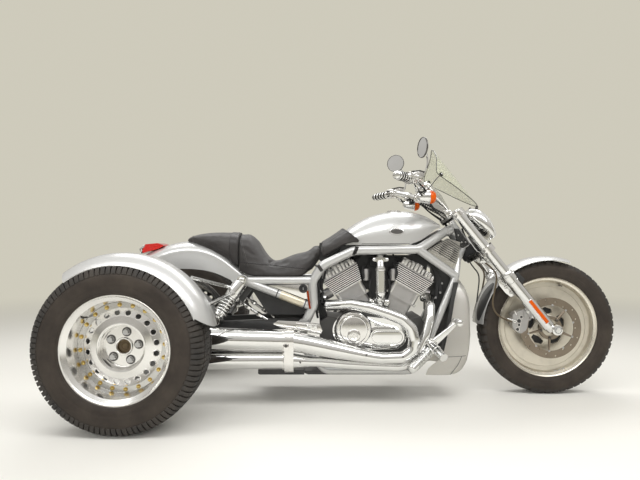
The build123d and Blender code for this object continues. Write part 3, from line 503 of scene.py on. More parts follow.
NODES_BY_FINISH: dict[Finish, tuple[str, ...]] = {
    Finishes.frame_silver: ("frame",),
    Finishes.polished: ("frame_covers", "muffler_clamp", "triple_clamps", "riser", "gauge_pod"),
    Finishes.silver: ("tank_cover", "tail_body", "rear_fenders", "front_fender", "radiator_shroud"),
    Finishes.engine_dark: ("crankcase",),
    Finishes.engine: ("cylinder_rear", "cylinder_front", "calipers"),
    Finishes.chrome: (
        "engine_covers", "exhaust_rear", "exhaust_front", "mufflers", "fender_stays", "shocks",
        "foot_controls", "fork_legs", "headlamp_shell", "handlebar", "hand_controls", "mirrors",
        "indicators"
    ),
    Finishes.plastic: ("airbox", "battery_box"),
    Finishes.black: ("belly_tray", "axle_carrier", "screen_mounts"),
    Finishes.leather: ("seat_rider", "seat_pillion", "tank_pouch"),
    Finishes.red: ("tail_lamp",),
    Finishes.core: ("radiator",),
    Finishes.steel: ("front_axle", "rear_hub_right", "rear_hub_left"),
    Finishes.lens: ("headlamp_lens",),
    Finishes.grip: ("grips",),
    Finishes.amber: ("indicator_lenses",),
    Finishes.screen: ("windscreen",),
    Finishes.hose: ("brake_hoses",),
    Finishes.cast: ("front_rim",),
    Finishes.tyre: ("front_tyre", "rear_tyre_right", "rear_tyre_left"),
    Finishes.rotor: ("front_rotors",),
    Finishes.wheel_alloy: ("rear_rim_right", "rear_rim_left"),
}


def dress(finish: Finish, nodes: Sequence[str]) -> None:
    """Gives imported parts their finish.

    Args:
        finish: The finish to put on them.
        nodes: The parts' node names.
    """
    for node in nodes:
        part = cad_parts[node]
        part.data.materials.clear()
        part.data.materials.append(finish.build())


@dataclass
class Studio:
    """The floor, the backdrop, the lamps and the camera."""

    eye: tuple[float, float, float] = (-0.176, -2.5, 0.686)
    lens_mm: float = 28.35
    shift_up: float = 0.0203
    floor_half: float = 60.0
    floor_z: float = -0.0005
    fade: tuple[float, float] = (2.2, 7.5)
    backdrop: tuple[float, float, float] = (0.62, 0.595, 0.50)

    def build(self) -> None:
        """Makes the stage, the lamps and the camera."""
        self.floor()
        self.world()
        self.lamp("overhead_front", (0.0, -1.8, 3.0), (0.0, 0.0, 0.3), (6.5, 1.0), 92.0)
        self.lamp("overhead_back", (0.0, 1.4, 3.0), (0.0, 0.0, 0.4), (4.5, 0.9), 50.0)
        self.lamp("front_fill", (-0.6, -4.2, 1.6), (0.0, 0.0, 0.4), (4.0, 1.6), 56.0, shows=False)
        self.camera()

    @staticmethod
    def seen_rays(tree: bpy.types.NodeTree) -> Socket:
        """A value that is 1 for camera, glossy and transmission rays.

        Args:
            tree: The node tree to add it to.

        Returns:
            The value's socket.
        """
        path = tree.nodes.new("ShaderNodeLightPath")
        value = path.outputs["Is Camera Ray"]
        for other in ("Is Glossy Ray", "Is Transmission Ray"):
            either = tree.nodes.new("ShaderNodeMath")
            either.operation = "MAXIMUM"
            tree.links.new(value, either.inputs[0])
            tree.links.new(path.outputs[other], either.inputs[1])
            value = either.outputs[0]
        return value

    def floor(self) -> None:
        """Makes a pale floor that takes the shadow and runs into the backdrop far from the machine."""
        bm = bmesh.new()
        bmesh.ops.create_grid(bm, x_segments=1, y_segments=1, size=self.floor_half)
        bmesh.ops.translate(bm, verts=bm.verts, vec=(0.0, 0.0, self.floor_z))
        mesh = bpy.data.meshes.new("floor")
        closed(bm, mesh)
        plane = bpy.data.objects.new("floor", mesh)
        bpy.context.scene.collection.objects.link(plane)
        graph = Graph("pale_floor")
        graph.set(Base_Color=(0.90, 0.885, 0.83), Roughness=0.6, Specular_IOR_Level=0.3)
        glow = graph.node("Emission", {"Color": (*self.backdrop, 1.0)})
        span = graph.node("VectorMath", operation="LENGTH")
        graph.link(graph.place(), span.inputs[0])
        near, end = self.fade
        reach = {"From Min": near, "From Max": end, "Value": span.outputs["Value"]}
        far = graph.node("MapRange", reach, interpolation_type="SMOOTHSTEP")
        share = graph.node("Math", operation="MULTIPLY")
        graph.link(far.outputs["Result"], share.inputs[0])
        graph.link(self.seen_rays(graph.tree), share.inputs[1])
        mix = graph.node("MixShader", {"Fac": share.outputs[0]})
        graph.link(graph.shader.outputs["BSDF"], mix.inputs[1])
        graph.link(glow.outputs["Emission"], mix.inputs[2])
        graph.link(mix.outputs["Shader"], graph.output.inputs["Surface"])
        mesh.materials.append(graph.material)

    def world(self) -> None:
        """Fills the world with a pale backdrop to the eye and a plainer light to the object."""
        world = bpy.data.worlds.new("studio")
        bpy.context.scene.world = world
        world.use_nodes = True
        tree = world.node_tree
        tree.nodes.clear()
        output = tree.nodes.new("ShaderNodeOutputWorld")
        mix = tree.nodes.new("ShaderNodeMixShader")
        lit = tree.nodes.new("ShaderNodeBackground")
        seen = tree.nodes.new("ShaderNodeBackground")
        lit.inputs["Color"].default_value = (0.95, 0.93, 0.88, 1.0)
        lit.inputs["Strength"].default_value = 0.42
        tree.links.new(self.room(tree), seen.inputs["Color"])
        tree.links.new(self.seen_rays(tree), mix.inputs["Fac"])
        tree.links.new(lit.outputs[0], mix.inputs[1])
        tree.links.new(seen.outputs[0], mix.inputs[2])
        tree.links.new(mix.outputs[0], output.inputs["Surface"])

    def room(self, tree: bpy.types.NodeTree) -> Socket:
        """Shades the surroundings: the backdrop to the eye, a horizon and a bright ceiling to metal.

        Args:
            tree: The world's node tree.

        Returns:
            The colour's socket.
        """
        coord = tree.nodes.new("ShaderNodeTexCoord")
        split = tree.nodes.new("ShaderNodeSeparateXYZ")
        ramp = tree.nodes.new("ShaderNodeValToRGB")
        path = tree.nodes.new("ShaderNodeLightPath")
        mix = tree.nodes.new("ShaderNodeMix")
        mix.data_type = "RGBA"
        tree.links.new(coord.outputs["Generated"], split.inputs["Vector"])
        tree.links.new(split.outputs["Z"], ramp.inputs["Fac"])
        stops = [
            (0.0, (0.17, 0.16, 0.145)), (0.03, (0.20, 0.19, 0.17)), (0.09, (0.47, 0.45, 0.41)),
            (0.45, (0.64, 0.62, 0.58)), (0.8, (0.93, 0.92, 0.89))
        ]
        spread(ramp, stops)
        tree.links.new(path.outputs["Is Camera Ray"], mix.inputs["Factor"])
        first, second = (s for s in mix.inputs if s.type == "RGBA")
        tree.links.new(ramp.outputs["Color"], first)
        second.default_value = (*self.backdrop, 1.0)
        return next(s for s in mix.outputs if s.type == "RGBA")

    def lamp(
        self, name: str, at: Sequence[float], aim: Sequence[float], size: Sequence[float], power: float,
        shows: bool = True
    ) -> None:
        """Adds a soft rectangular lamp.

        Args:
            name: The lamp's name.
            at: Where it hangs.
            aim: What it points at.
            size: Its width and height.
            power: Its power in watts.
            shows: Whether metal reflects it.
        """
        data = bpy.data.lights.new(name, "AREA")
        data.shape = "RECTANGLE"
        data.size, data.size_y = size
        data.energy = power
        lamp = bpy.data.objects.new(name, data)
        lamp.location = at
        lamp.visible_glossy = shows
        lamp.rotation_euler = (Vector(aim) - Vector(at)).to_track_quat("-Z", "Y").to_euler()
        bpy.context.scene.collection.objects.link(lamp)

    def camera(self) -> None:
        """Sets the camera level, square to the machine's side."""
        data = bpy.data.cameras.new("camera")
        data.lens = self.lens_mm
        data.sensor_width = 36.0
        data.shift_y = self.shift_up
        data.clip_start = 0.05
        data.clip_end = 200.0
        camera = bpy.data.objects.new("camera", data)
        camera.location = self.eye
        camera.rotation_euler = (math.radians(90.0), 0.0, 0.0)
        bpy.context.scene.collection.objects.link(camera)
        bpy.context.scene.camera = camera


# ---------------------------------------------------------------- modelling tools
def mm(x: float, y: float, z: float) -> Vector:
    """A point given in millimetres, in the row frame."""
    return Vector((x, y, z)) * MM


def turned(degrees: float, axis: str = "Y") -> Matrix:
    """A rotation about an axis."""
    return Matrix.Rotation(math.radians(degrees), 4, axis)


def opened(mesh: bpy.types.Mesh) -> Mesh:
    """A mesh, opened for editing."""
    bm = bmesh.new()
    bm.from_mesh(mesh)
    return bm


def closed(bm: Mesh, mesh: bpy.types.Mesh) -> None:
    """Writes an edited mesh back and frees it."""
    bm.to_mesh(mesh)
    bm.free()


def only(geom: Iterable[object], kind: type) -> list:
    """The members of one kind in an operator's result."""
    return [g for g in geom if isinstance(g, kind)]


def soften(bm: Mesh, edges: Iterable[bmesh.types.BMEdge], width: float, segments: int = 2) -> None:
    """Bevels edges.

    Args:
        bm: The mesh.
        edges: The edges, where one may come twice.
        width: The bevel's width, in millimetres.
        segments: The number of its steps.
    """
    geom = list(dict.fromkeys(edges))
    bmesh.ops.bevel(
        bm, geom=geom, offset=width * MM, segments=segments, profile=0.5, affect="EDGES", material=-1
    )


def relax(bm: Mesh, times: int, factor: float) -> None:
    """Smooths a mesh's vertices, a number of times."""
    for _ in range(times):
        bmesh.ops.smooth_vert(
            bm, verts=bm.verts, factor=factor, use_axis_x=True, use_axis_y=True, use_axis_z=True
        )


def placed(rows: Iterable[Sequence[float]]) -> list[Vector]:
    """Points given in millimetres, in the row frame."""
    return [mm(*row) for row in rows]


def read(table: Outline, at: float) -> float:
    """Reads a table of (position, value) rows at a position, and gives the last value beyond its end."""
    for (start, low), (end, high) in zip(table, table[1:]):
        if at <= end:
            return low + (high - low) * (at - start) / (end - start)
    return table[-1][1]


def lathe(
    profile: Outline, centre: Sequence[float], steps: int, out: int = 1, axis: Sequence[float] | None = None
) -> Mesh:
    """Spins a profile about an axle.

    Args:
        profile: Radius and outboard distance of each point, in millimetres.
        centre: A point on the axle.
        steps: The number of steps in a full turn.
        out: 1 if outboard is +Y, -1 if it is -Y.
        axis: The way outboard points, or None for the wheels' axle.

    Returns:
        The spun mesh.
    """
    bm = bmesh.new()
    verts = [bm.verts.new(mm(radius, 0.0, along)) for radius, along in profile]
    edges = [bm.edges.new(pair) for pair in zip(verts, [*verts[1:], verts[0]])]
    bmesh.ops.spin(
        bm, geom=[*verts, *edges], cent=ORIGIN, axis=(0, 0, 1), angle=math.tau, steps=steps, use_merge=True
    )
    bmesh.ops.remove_doubles(bm, verts=bm.verts, dist=1e-6)
    way = Vector(axis if axis is not None else (0, out, 0))
    turn = way.to_track_quat("Z", "Y").to_matrix().to_4x4()
    bmesh.ops.transform(bm, matrix=Matrix.Translation(Vector(centre)) @ turn, verts=bm.verts)
    bmesh.ops.recalc_face_normals(bm, faces=bm.faces)
    return bm


def rod(
    start: Sequence[float], end: Sequence[float], radius: float, end_radius: float | None = None,
    sides: int = 28, soft: float = 0.0
) -> Mesh:
    """A round bar, cone or, with six sides, a hexagon between two points.

    Args:
        start: The middle of its first end.
        end: The middle of its last end.
        radius: Its radius at the start, in millimetres.
        end_radius: Its radius at the end, if that differs.
        sides: The number of sides.
        soft: The width of the bevel round both ends, in millimetres.

    Returns:
        The bar's mesh.
    """
    a, b = Vector(start), Vector(end)
    along = b - a
    bm = bmesh.new()
    tip = radius if end_radius is None else end_radius
    bmesh.ops.create_cone(
        bm, cap_ends=True, segments=sides, radius1=radius * MM, radius2=tip * MM, depth=along.length
    )
    if soft:
        caps = [f for f in bm.faces if len(f.verts) > 4]
        soften(bm, (e for f in caps for e in f.edges), soft)
    turn = along.to_track_quat("Z", "Y").to_matrix().to_4x4()
    bmesh.ops.transform(bm, matrix=Matrix.Translation((a + b) / 2) @ turn, verts=bm.verts)
    return bm


def ball(centre: Sequence[float], radii: Sequence[float]) -> Mesh:
    """An ellipsoid.

    Args:
        centre: Its middle.
        radii: Its half sizes, in millimetres.

    Returns:
        Its mesh.
    """
    bm = bmesh.new()
    bmesh.ops.create_uvsphere(bm, u_segments=24, v_segments=12, radius=1.0)
    bmesh.ops.scale(bm, vec=Vector(radii) * MM, verts=bm.verts)
    bmesh.ops.translate(bm, vec=Vector(centre), verts=bm.verts)
    return bm


def box(
    centre: Sequence[float], size: Sequence[float], soft: float = 0.0, turn: Matrix | None = None,
    segments: int = 2
) -> Mesh:
    """A block with rounded edges.

    Args:
        centre: Its middle.
        size: Its sizes along X, Y and Z, in millimetres.
        soft: The width of its bevels, in millimetres.
        turn: A rotation about its middle.
        segments: The number of steps in a bevel.

    Returns:
        Its mesh.
    """
    bm = bmesh.new()
    bmesh.ops.create_cube(bm, size=1.0)
    bmesh.ops.scale(bm, vec=Vector(size) * MM, verts=bm.verts)
    if soft:
        soften(bm, bm.edges, soft, segments)
    if turn is not None:
        bmesh.ops.transform(bm, matrix=turn, verts=bm.verts)
    bmesh.ops.translate(bm, vec=Vector(centre), verts=bm.verts)
    return bm


def slab(outline: Outline, y_low: float, y_high: float, soft: float = 0.0) -> Mesh:
    """A plate in the XZ plane.

    Args:
        outline: X and Z of its corners, in millimetres.
        y_low: Its lowest Y, in millimetres.
        y_high: Its highest Y, in millimetres.
        soft: The width of its bevels, in millimetres.

    Returns:
        Its mesh.
    """
    bm = bmesh.new()
    face = bm.faces.new([bm.verts.new(mm(x, y_low, z)) for x, z in outline])
    grown = bmesh.ops.extrude_face_region(bm, geom=[face])
    moved = only(grown["geom"], bmesh.types.BMVert)
    bmesh.ops.translate(bm, vec=(0.0, (y_high - y_low) * MM, 0.0), verts=moved)
    bmesh.ops.recalc_face_normals(bm, faces=bm.faces)
    if soft:
        soften(bm, bm.edges, soft)
    return bm


def tube(
    points: Sequence[Sequence[float]], radius: float, sides: int = 12, smooth: int = 8, loop: bool = False
) -> Mesh:
    """A round tube along a smooth line.

    Args:
        points: The line's control points.
        radius: Its radius, in millimetres.
        sides: The number of sides.
        smooth: The steps between two points.
        loop: Whether the line closes on itself.

    Returns:
        Its mesh.
    """
    line = bpy.data.curves.new("line", "CURVE")
    line.dimensions = "3D"
    spline = line.splines.new("NURBS")
    spline.points.add(len(points) - 1)
    for point, at in zip(spline.points, points):
        point.co = (*at, 1.0)
    spline.order_u = 3
    spline.use_endpoint_u = not loop
    spline.use_cyclic_u = loop
    spline.resolution_u = smooth
    line.bevel_depth = radius * MM
    line.bevel_resolution = max(1, sides // 4 - 1)
    line.use_fill_caps = not loop
    holder = bpy.data.objects.new("line", line)
    mesh = bpy.data.meshes.new_from_object(holder)
    bm = opened(mesh)
    bpy.data.objects.remove(holder)
    bpy.data.curves.remove(line)
    bpy.data.meshes.remove(mesh)
    bmesh.ops.remove_doubles(bm, verts=bm.verts, dist=1e-6)
    return bm


def around(bm: Mesh, centre: Sequence[float], count: int, axis: Sequence[float] = (0, 1, 0)) -> Mesh:
    """Repeats a mesh evenly round an axis.

    Args:
        bm: The first copy.
        centre: A point on the axis.
        count: The number of copies.
        axis: The axis.

    Returns:
        The same mesh with every copy in it.
    """
    geom = [*bm.verts, *bm.edges, *bm.faces]
    bmesh.ops.spin(
        bm, geom=geom, cent=centre, axis=axis, angle=math.tau * (count - 1) / count, steps=count - 1,
        use_duplicate=True
    )
    return bm


def both(bm: Mesh) -> Mesh:
    """Adds the mesh's mirror image across the centre plane.

    Args:
        bm: The right half's mesh.

    Returns:
        The same mesh with both halves.
    """
    copy = bmesh.ops.duplicate(bm, geom=[*bm.verts, *bm.edges, *bm.faces])["geom"]
    verts = only(copy, bmesh.types.BMVert)
    bmesh.ops.scale(bm, vec=(1.0, -1.0, 1.0), verts=verts)
    bmesh.ops.reverse_faces(bm, faces=only(copy, bmesh.types.BMFace))
    return bm


def join(*parts: Mesh) -> Mesh:
    """Puts several meshes into the first and frees the rest.

    Args:
        *parts: The meshes.

    Returns:
        The first mesh, with all of them in it.
    """
    first = parts[0]
    for part in parts[1:]:
        mesh = bpy.data.meshes.new("joining")
        part.to_mesh(mesh)
        part.free()
        first.from_mesh(mesh)
        bpy.data.meshes.remove(mesh)
    return first


def bolt(
    at: Sequence[float], way: Sequence[float], radius: float, height: float, washer: float = 0.0,
    round_head: bool = False
) -> Mesh:
    """A bolt head on its washer.

    Args:
        at: The middle of its seat.
        way: The way it points.
        radius: The head's radius, in millimetres.
        height: The head's height, in millimetres.
        washer: The washer's radius, or 0 for none.
        round_head: Whether the head is round with a socket, not a hexagon.

    Returns:
        Its mesh.
    """
    a, n = Vector(at), Vector(way).normalized()
    parts = []
    lift = 0.0
    if washer:
        parts.append(rod(a, a + n * 1.6 * MM, washer, sides=20))
        lift = 1.6 * MM
    if round_head:
        profile = [
            (0.05, height * 0.45), (radius * 0.45, height * 0.45), (radius * 0.5, height),
            (radius * 0.86, height), (radius, height * 0.8), (radius, 0.0), (0.05, 0.0)
        ]
        parts.append(lathe(profile, a + n * lift, 16, axis=n))
    else:
        parts.append(
            rod(a + n * lift, a + n * (lift + height * MM), radius, sides=6, soft=min(0.8, radius * 0.15))
        )
    return join(*parts)


class SubAssembly:
    """A group of pieces that ride on one body."""

    body: Body

    def put(
        self, parts: Iterable[Mesh], name: str, finish: Finish, *nodes: str, sharp: float = 36.0,
        twin: bool = False
    ) -> None:
        """Joins meshes into a finished piece.

        Args:
            parts: The meshes, which are freed.
            name: The piece's name.
            finish: Its finish.
            *nodes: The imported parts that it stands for.
            sharp: The angle in degrees above which an edge stays sharp.
            twin: Whether a mirror image across the centre plane is added.
        """
        bm = join(*parts)
        if twin:
            both(bm)
        mesh = bpy.data.meshes.new(name)
        closed(bm, mesh)
        mesh.shade_smooth()
        mesh.set_sharp_from_angle(angle=math.radians(sharp))
        piece = bpy.data.objects.new(name, mesh)
        bpy.context.scene.collection.objects.link(piece)
        mesh.materials.append(finish.build())
        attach(piece, self.body.value)
        if nodes:
            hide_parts(*nodes)
        LOG.info("%s: %d faces on %s", name, len(mesh.polygons), self.body.value)


# ---------------------------------------------------------------- wheels
@dataclass
class Tyre(SubAssembly):
    """A road tyre: a smooth carcass with moulded rings and separate tread blocks."""

    body: Body
    node: str
    centre: Vector
    half_width: float = 114.0
    bead: float = 207.6
    outer: float = 325.0
    groove: float = 6.5
    rows: tuple[tuple[float, float, int], ...] = ((0.0, 24.0, 92), (-30.0, 27.0, 92), (30.0, 27.0, 92))
    shoulder: float = 72.0
    shoulder_count: int = 92
    steps: int = 144
    crown: float = 7.2

    def carcass(self) -> Mesh:
        """The smooth body of the tyre, with rings moulded into both sidewalls.

        Returns:
            Its mesh.
        """
        w, floor = self.half_width, self.outer - self.groove
        rise = floor - self.bead
        wall = [(self.bead + step, share) for step, share in (  # radius and share of the half width
            (-12, 0.80), (-3, 0.865), (2, 0.90), (7, 0.93), (9, 0.925), (12, 0.945),
        )]
        wall += [(self.bead + rise * part, share) for part, share in (
            (0.26, 0.975), (0.28, 0.970), (0.31, 0.985), (0.42, 0.999), (0.52, 1.0), (0.62, 0.992),
            (0.64, 0.984), (0.67, 0.975), (0.80, 0.905), (0.88, 0.835), (0.94, 0.75), (0.98, 0.68),
        )]
        half = [(r, w * share) for r, share in wall] + [
            (floor - 0.6, w * 0.6), (floor + 1.2, w * 0.35), (floor + 2.0, 0.0)
        ]
        profile = half + [(r, -u) for r, u in reversed(half[:-1])]
        return lathe(profile, self.centre, self.steps)

    def block(self, y: float, width: float, count: int, share: float, skew: float) -> Mesh:
        """One tread block, repeated round the tyre.

        Args:
            y: Its middle, from the tyre's middle, in millimetres.
            width: Its width in millimetres.
            count: The number of blocks.
            share: How much of the pitch it fills.
            skew: The slant of its ends, in millimetres.

        Returns:
            The row's mesh.
        """
        top = self.outer - self.crown * (abs(y) / self.half_width) ** 2
        pitch = math.tau * self.outer / count
        bm = box((0, 0, 0), (pitch * share, width, self.groove + 4.0), soft=1.0, segments=1)
        for vert in bm.verts:
            vert.co.x += skew * MM * (vert.co.y / (width * MM))
        tilt = turned(-math.copysign(3.0, y) if y else 0.0, "X")
        bmesh.ops.transform(bm, matrix=tilt, verts=bm.verts)
        bmesh.ops.translate(
            bm, verts=bm.verts, vec=self.centre + mm(0, y, top - (self.groove + 4.0) / 2 - 0.6)
        )
        return around(bm, self.centre, count)

    def lugs(self, side: int) -> Mesh:
        """The wide shoulder blocks that wrap on to the sidewall.

        Args:
            side: 1 for the left edge of the tyre, -1 for the right one.

        Returns:
            The row's mesh.
        """
        w, top = self.half_width, self.outer
        pitch = math.tau * self.outer / self.shoulder_count
        inner = self.shoulder / self.half_width
        outline = [  # share of the half width, radius
            (inner - 0.12, top - 1.6), (0.66, top - 3.0), (0.77, top - 6.0), (0.87, top - 12.5),
            (0.935, top - 22.0), (0.975, top - 33.0), (0.985, top - 40.0), (0.945, top - 42.0),
            (0.80, top - 28.0), (0.60, top - 14.0), (inner - 0.12, top - 9.0),
        ]
        bm = bmesh.new()
        face = bm.faces.new(
            [bm.verts.new((-pitch * 0.36 * MM, side * w * u * MM, r * MM)) for u, r in outline]
        )
        grown = bmesh.ops.extrude_face_region(bm, geom=[face])["geom"]
        moved = only(grown, bmesh.types.BMVert)
        bmesh.ops.translate(bm, vec=(pitch * 0.72 * MM, 0, 0), verts=moved)
        bmesh.ops.recalc_face_normals(bm, faces=bm.faces)
        soften(bm, [e for e in bm.edges if e.calc_face_angle(0.0) > 1.2], 0.9, 1)
        bmesh.ops.translate(bm, verts=bm.verts, vec=self.centre)
        return around(bm, self.centre, self.shoulder_count)

    def build(self) -> None:
        """Makes the tyre and its tread."""
        name = self.node
        self.put([self.carcass()], f"{name}_carcass", Finishes.tyre, name, sharp=50.0)
        rows = [self.block(y, width, count, 0.86, 5.0 if y >= 0 else -5.0) for y, width, count in self.rows]
        self.put([*rows, self.lugs(1), self.lugs(-1)], f"{name}_tread", Finishes.tread, sharp=30.0)


@dataclass
class RearWheel(SubAssembly):
    """A car wheel's dressing: lip, bolting ring, lug nuts, hub cap and valve."""

    side: Side
    ring_r: float = 163.0
    ring_bolts: int = 20
    lug_r: float = 57.15

    @property
    def body(self) -> Body:
        """The body that the wheel is."""
        return Body.REAR_RIGHT if self.side is Side.RIGHT else Body.REAR_LEFT

    @property
    def centre(self) -> Vector:
        """The wheel's middle."""
        return Vector((REAR_X, int(self.side) * REAR_Y, AXLE_HEIGHT))

    def spot(self, radius: float, angle: float, out: float) -> Vector:
        """A point on the wheel.

        Args:
            radius: Its distance from the axle, in millimetres.
            angle: Its angle from the front, in degrees.
            out: Its distance outboard of the wheel's middle, in millimetres.

        Returns:
            The point.
        """
        a = math.radians(angle)
        return self.centre + mm(radius * math.cos(a), int(self.side) * out, radius * math.sin(a))

    def build(self) -> None:
        """Makes every piece of the wheel."""
        out = int(self.side)
        way = Vector((0, out, 0))
        label = self.side.label
        Tyre(self.body, f"rear_tyre_{label}", self.centre).build()
        lip = [
            (175.6, 19.4), (177.2, 22), (178.2, 40), (180.5, 56), (182.2, 60), (182.6, 66), (184.4, 70),
            (185.8, 86), (188.5, 90.5), (194, 92.5), (197, 93.2), (198.8, 95.5), (200.4, 99.6),
            (202.6, 101.9), (205.2, 102.3), (207.2, 100.6), (207.5, 98), (206.4, 95.5), (200, 91),
            (190, 87), (181, 56), (176.5, 30),
        ]
        self.put([lathe(lip, self.centre, 160, out)], f"rim_lip_{label}", Finishes.wheel_alloy, sharp=28.0)
        band = [(150.6, 19.3), (152, 21.4), (173, 21.4), (174.6, 19.3), (174.6, 16), (150.6, 16)]
        self.put([lathe(band, self.centre, 128, out)], f"rim_ring_{label}", Finishes.ring_alloy, sharp=28.0)
        bolts = around(
            bolt(self.spot(self.ring_r, 4, 21.3), way, 6.8, 5.6, washer=8.6), self.centre, self.ring_bolts
        )
        self.put([bolts], f"rim_bolts_{label}", Finishes.gold)
        edges = [self.hole_edge(i) for i in range(20)]
        self.put(edges, f"rim_hole_edges_{label}", Finishes.wheel_alloy, sharp=60.0)
        boss = [(86, 30), (88.5, 35.5), (93, 37.2), (96, 36.2), (96, 30)]
        pad = [(84.6, 9.5), (84.2, 12), (80, 13.0), (78.6, 8), (78.6, 5.2), (84.6, 5.2)]
        shapes = [lathe(p, self.centre, 112, out) for p in (boss, pad)]
        self.put(shapes, f"rim_pad_{label}", Finishes.wheel_alloy, sharp=28.0)
        nut = [(0.05, 14.5), (5.0, 14.2), (8.0, 12.6), (9.2, 10.0), (9.6, 5.2), (0.05, 5.2)]
        nuts = [lathe(nut, self.spot(self.lug_r, 72 * i + 8, 0), 20, out) for i in range(5)]
        # dark steel rings round the nuts: painted shade of the nut pockets
        seat = [(12.2, 5.1), (12.2, 7.2), (17.5, 7.2), (18.6, 5.1)]
        seats = [lathe(seat, self.spot(self.lug_r, 72 * i + 8, 0), 28, out) for i in range(5)]
        self.put(nuts, f"lug_nuts_{label}", Finishes.ring_alloy)
        self.put(seats, f"lug_seats_{label}", Finishes.dark_steel)
        cap = [
            (0.05, -1), (10, -0.6), (12, 2.0), (15, 2.0), (17, -0.4), (23.5, -0.4), (24.5, 6.0),
            (26.6, 6.4), (26.6, -3.6), (0.05, -3.6)
        ]
        self.put([lathe(cap, self.centre, 56, out)], f"hub_cap_{label}", Finishes.brass)
        collar = [(27.4, 5.0), (27.6, 11.0), (29.5, 13.0), (33.0, 13.0), (35.0, 9.5), (35.6, 5.0)]
        self.put(
            [lathe(collar, self.centre, 64, out)], f"hub_collar_{label}", Finishes.wheel_alloy, sharp=28.0
        )
        start = self.spot(176.5, 138.8, 32)
        valve = join(
            rod(start, start + way * 0.012, 4.6, 3.6, soft=0.6),
            rod(start + way * 0.012, start + way * 0.030, 2.9),
            rod(start + way * 0.028, start + way * 0.037, 3.7, 3.2, soft=0.5)
        )
        self.put([valve], f"valve_{label}", Finishes.dark_steel)

    def hole_edge(self, index: int) -> Mesh:
        """The rolled edge of one of the ring of holes.

        Args:
            index: Which hole.

        Returns:
            Its mesh.
        """
        out = int(self.side)
        slope = Vector((0, out, 0))
        radial = (self.spot(1000, 18 * index + 8, 0) - self.centre).normalized()
        way = (slope + radial * 0.39).normalized()
        edge = [(10.2, 0.4), (10.9, 1.4), (12.4, 1.3), (13.4, 0.1), (12.6, -1.2), (10.4, -1.2)]
        return lathe(edge, self.spot(133.0, 18 * index + 8, 26.1), 26, axis=way)


@dataclass
class FrontWheel(SubAssembly):
    """The cast disc wheel's dressing and its brake parts."""

    body: Body = Body.FRONT_WHEEL
    centre: Vector = field(default_factory=lambda: Vector((FRONT_X, 0.0, AXLE_HEIGHT)))

    def spot(self, radius: float, angle: float, y: float) -> Vector:
        """A point on the wheel, by its radius, its angle from the front in degrees and its Y."""
        a = math.radians(angle)
        return self.centre + mm(radius * math.cos(a), y, radius * math.sin(a))

    def build(self) -> None:
        """Makes every piece of the wheel."""
        rows = ((0.0, 30.0, 40),)
        Tyre(self.body, "front_tyre", self.centre, 60.0, 254.5, 325.0, 5.5, rows, 30.0, 54).build()
        for side in Side:
            out = int(side)
            way = Vector((0, out, 0))
            label = side.label
            lip = [
                (226.2, 27), (228.6, 31.6), (236, 35), (238.5, 35.4), (242.5, 37.8), (247.4, 43.6),
                (250, 44.9), (253.2, 44.8), (254.4, 42.4), (253.8, 38.6), (246, 34), (236, 31)
            ]
            self.put(
                [lathe(lip, self.centre, 150, out)], f"front_lip_{label}", Finishes.cast_bright, sharp=28.0
            )
            well = [(219, 12.6), (222.4, 15), (225.2, 22.5), (226.6, 27), (225, 27), (220, 14)]
            bead = [(196, 13.7), (197, 15.4), (199.6, 15.4), (200.6, 13.4)]
            self.put([
                lathe(well, self.centre, 130, out), lathe(bead, self.centre, 130, out)
            ], f"front_steps_{label}", Finishes.cast, sharp=28.0)
            bolts = around(bolt(self.spot(48, 50, out * 72), way, 6.5, 6.0, round_head=True), self.centre, 5)
            self.put([bolts], f"rotor_bolts_{label}", Finishes.dark_steel)
            pins = around(
                bolt(self.spot(110.5, 50, out * 76.4), way, 5.0, 2.4, round_head=True), self.centre, 10
            )
            self.put([pins], f"rotor_pins_{label}", Finishes.steel)
        # a black disc inside the wheel: painted shade seen through the windows round the hub
        self.put([
            lathe([(30, -9), (102, -9), (102, 9), (30, 9)], self.centre, 64)
        ], "wheel_window_shade", Finishes.plastic)
        valve = join(
            rod(self.spot(213, 71, -13), self.spot(213, 71, -26), 4.2, 3.4, soft=0.6),
            rod(self.spot(213, 71, -26), self.spot(211, 71, -42), 2.8, soft=0.6)
        )
        self.put([valve], "front_valve", Finishes.dark_steel)
        weights = [
            box(self.spot(223, angle, -24), (15, 4, 7), soft=1.2, turn=turned(90 - angle))
            for angle in (282, 287, 292)
        ]
        self.put(weights, "balance_weights", Finishes.steel)


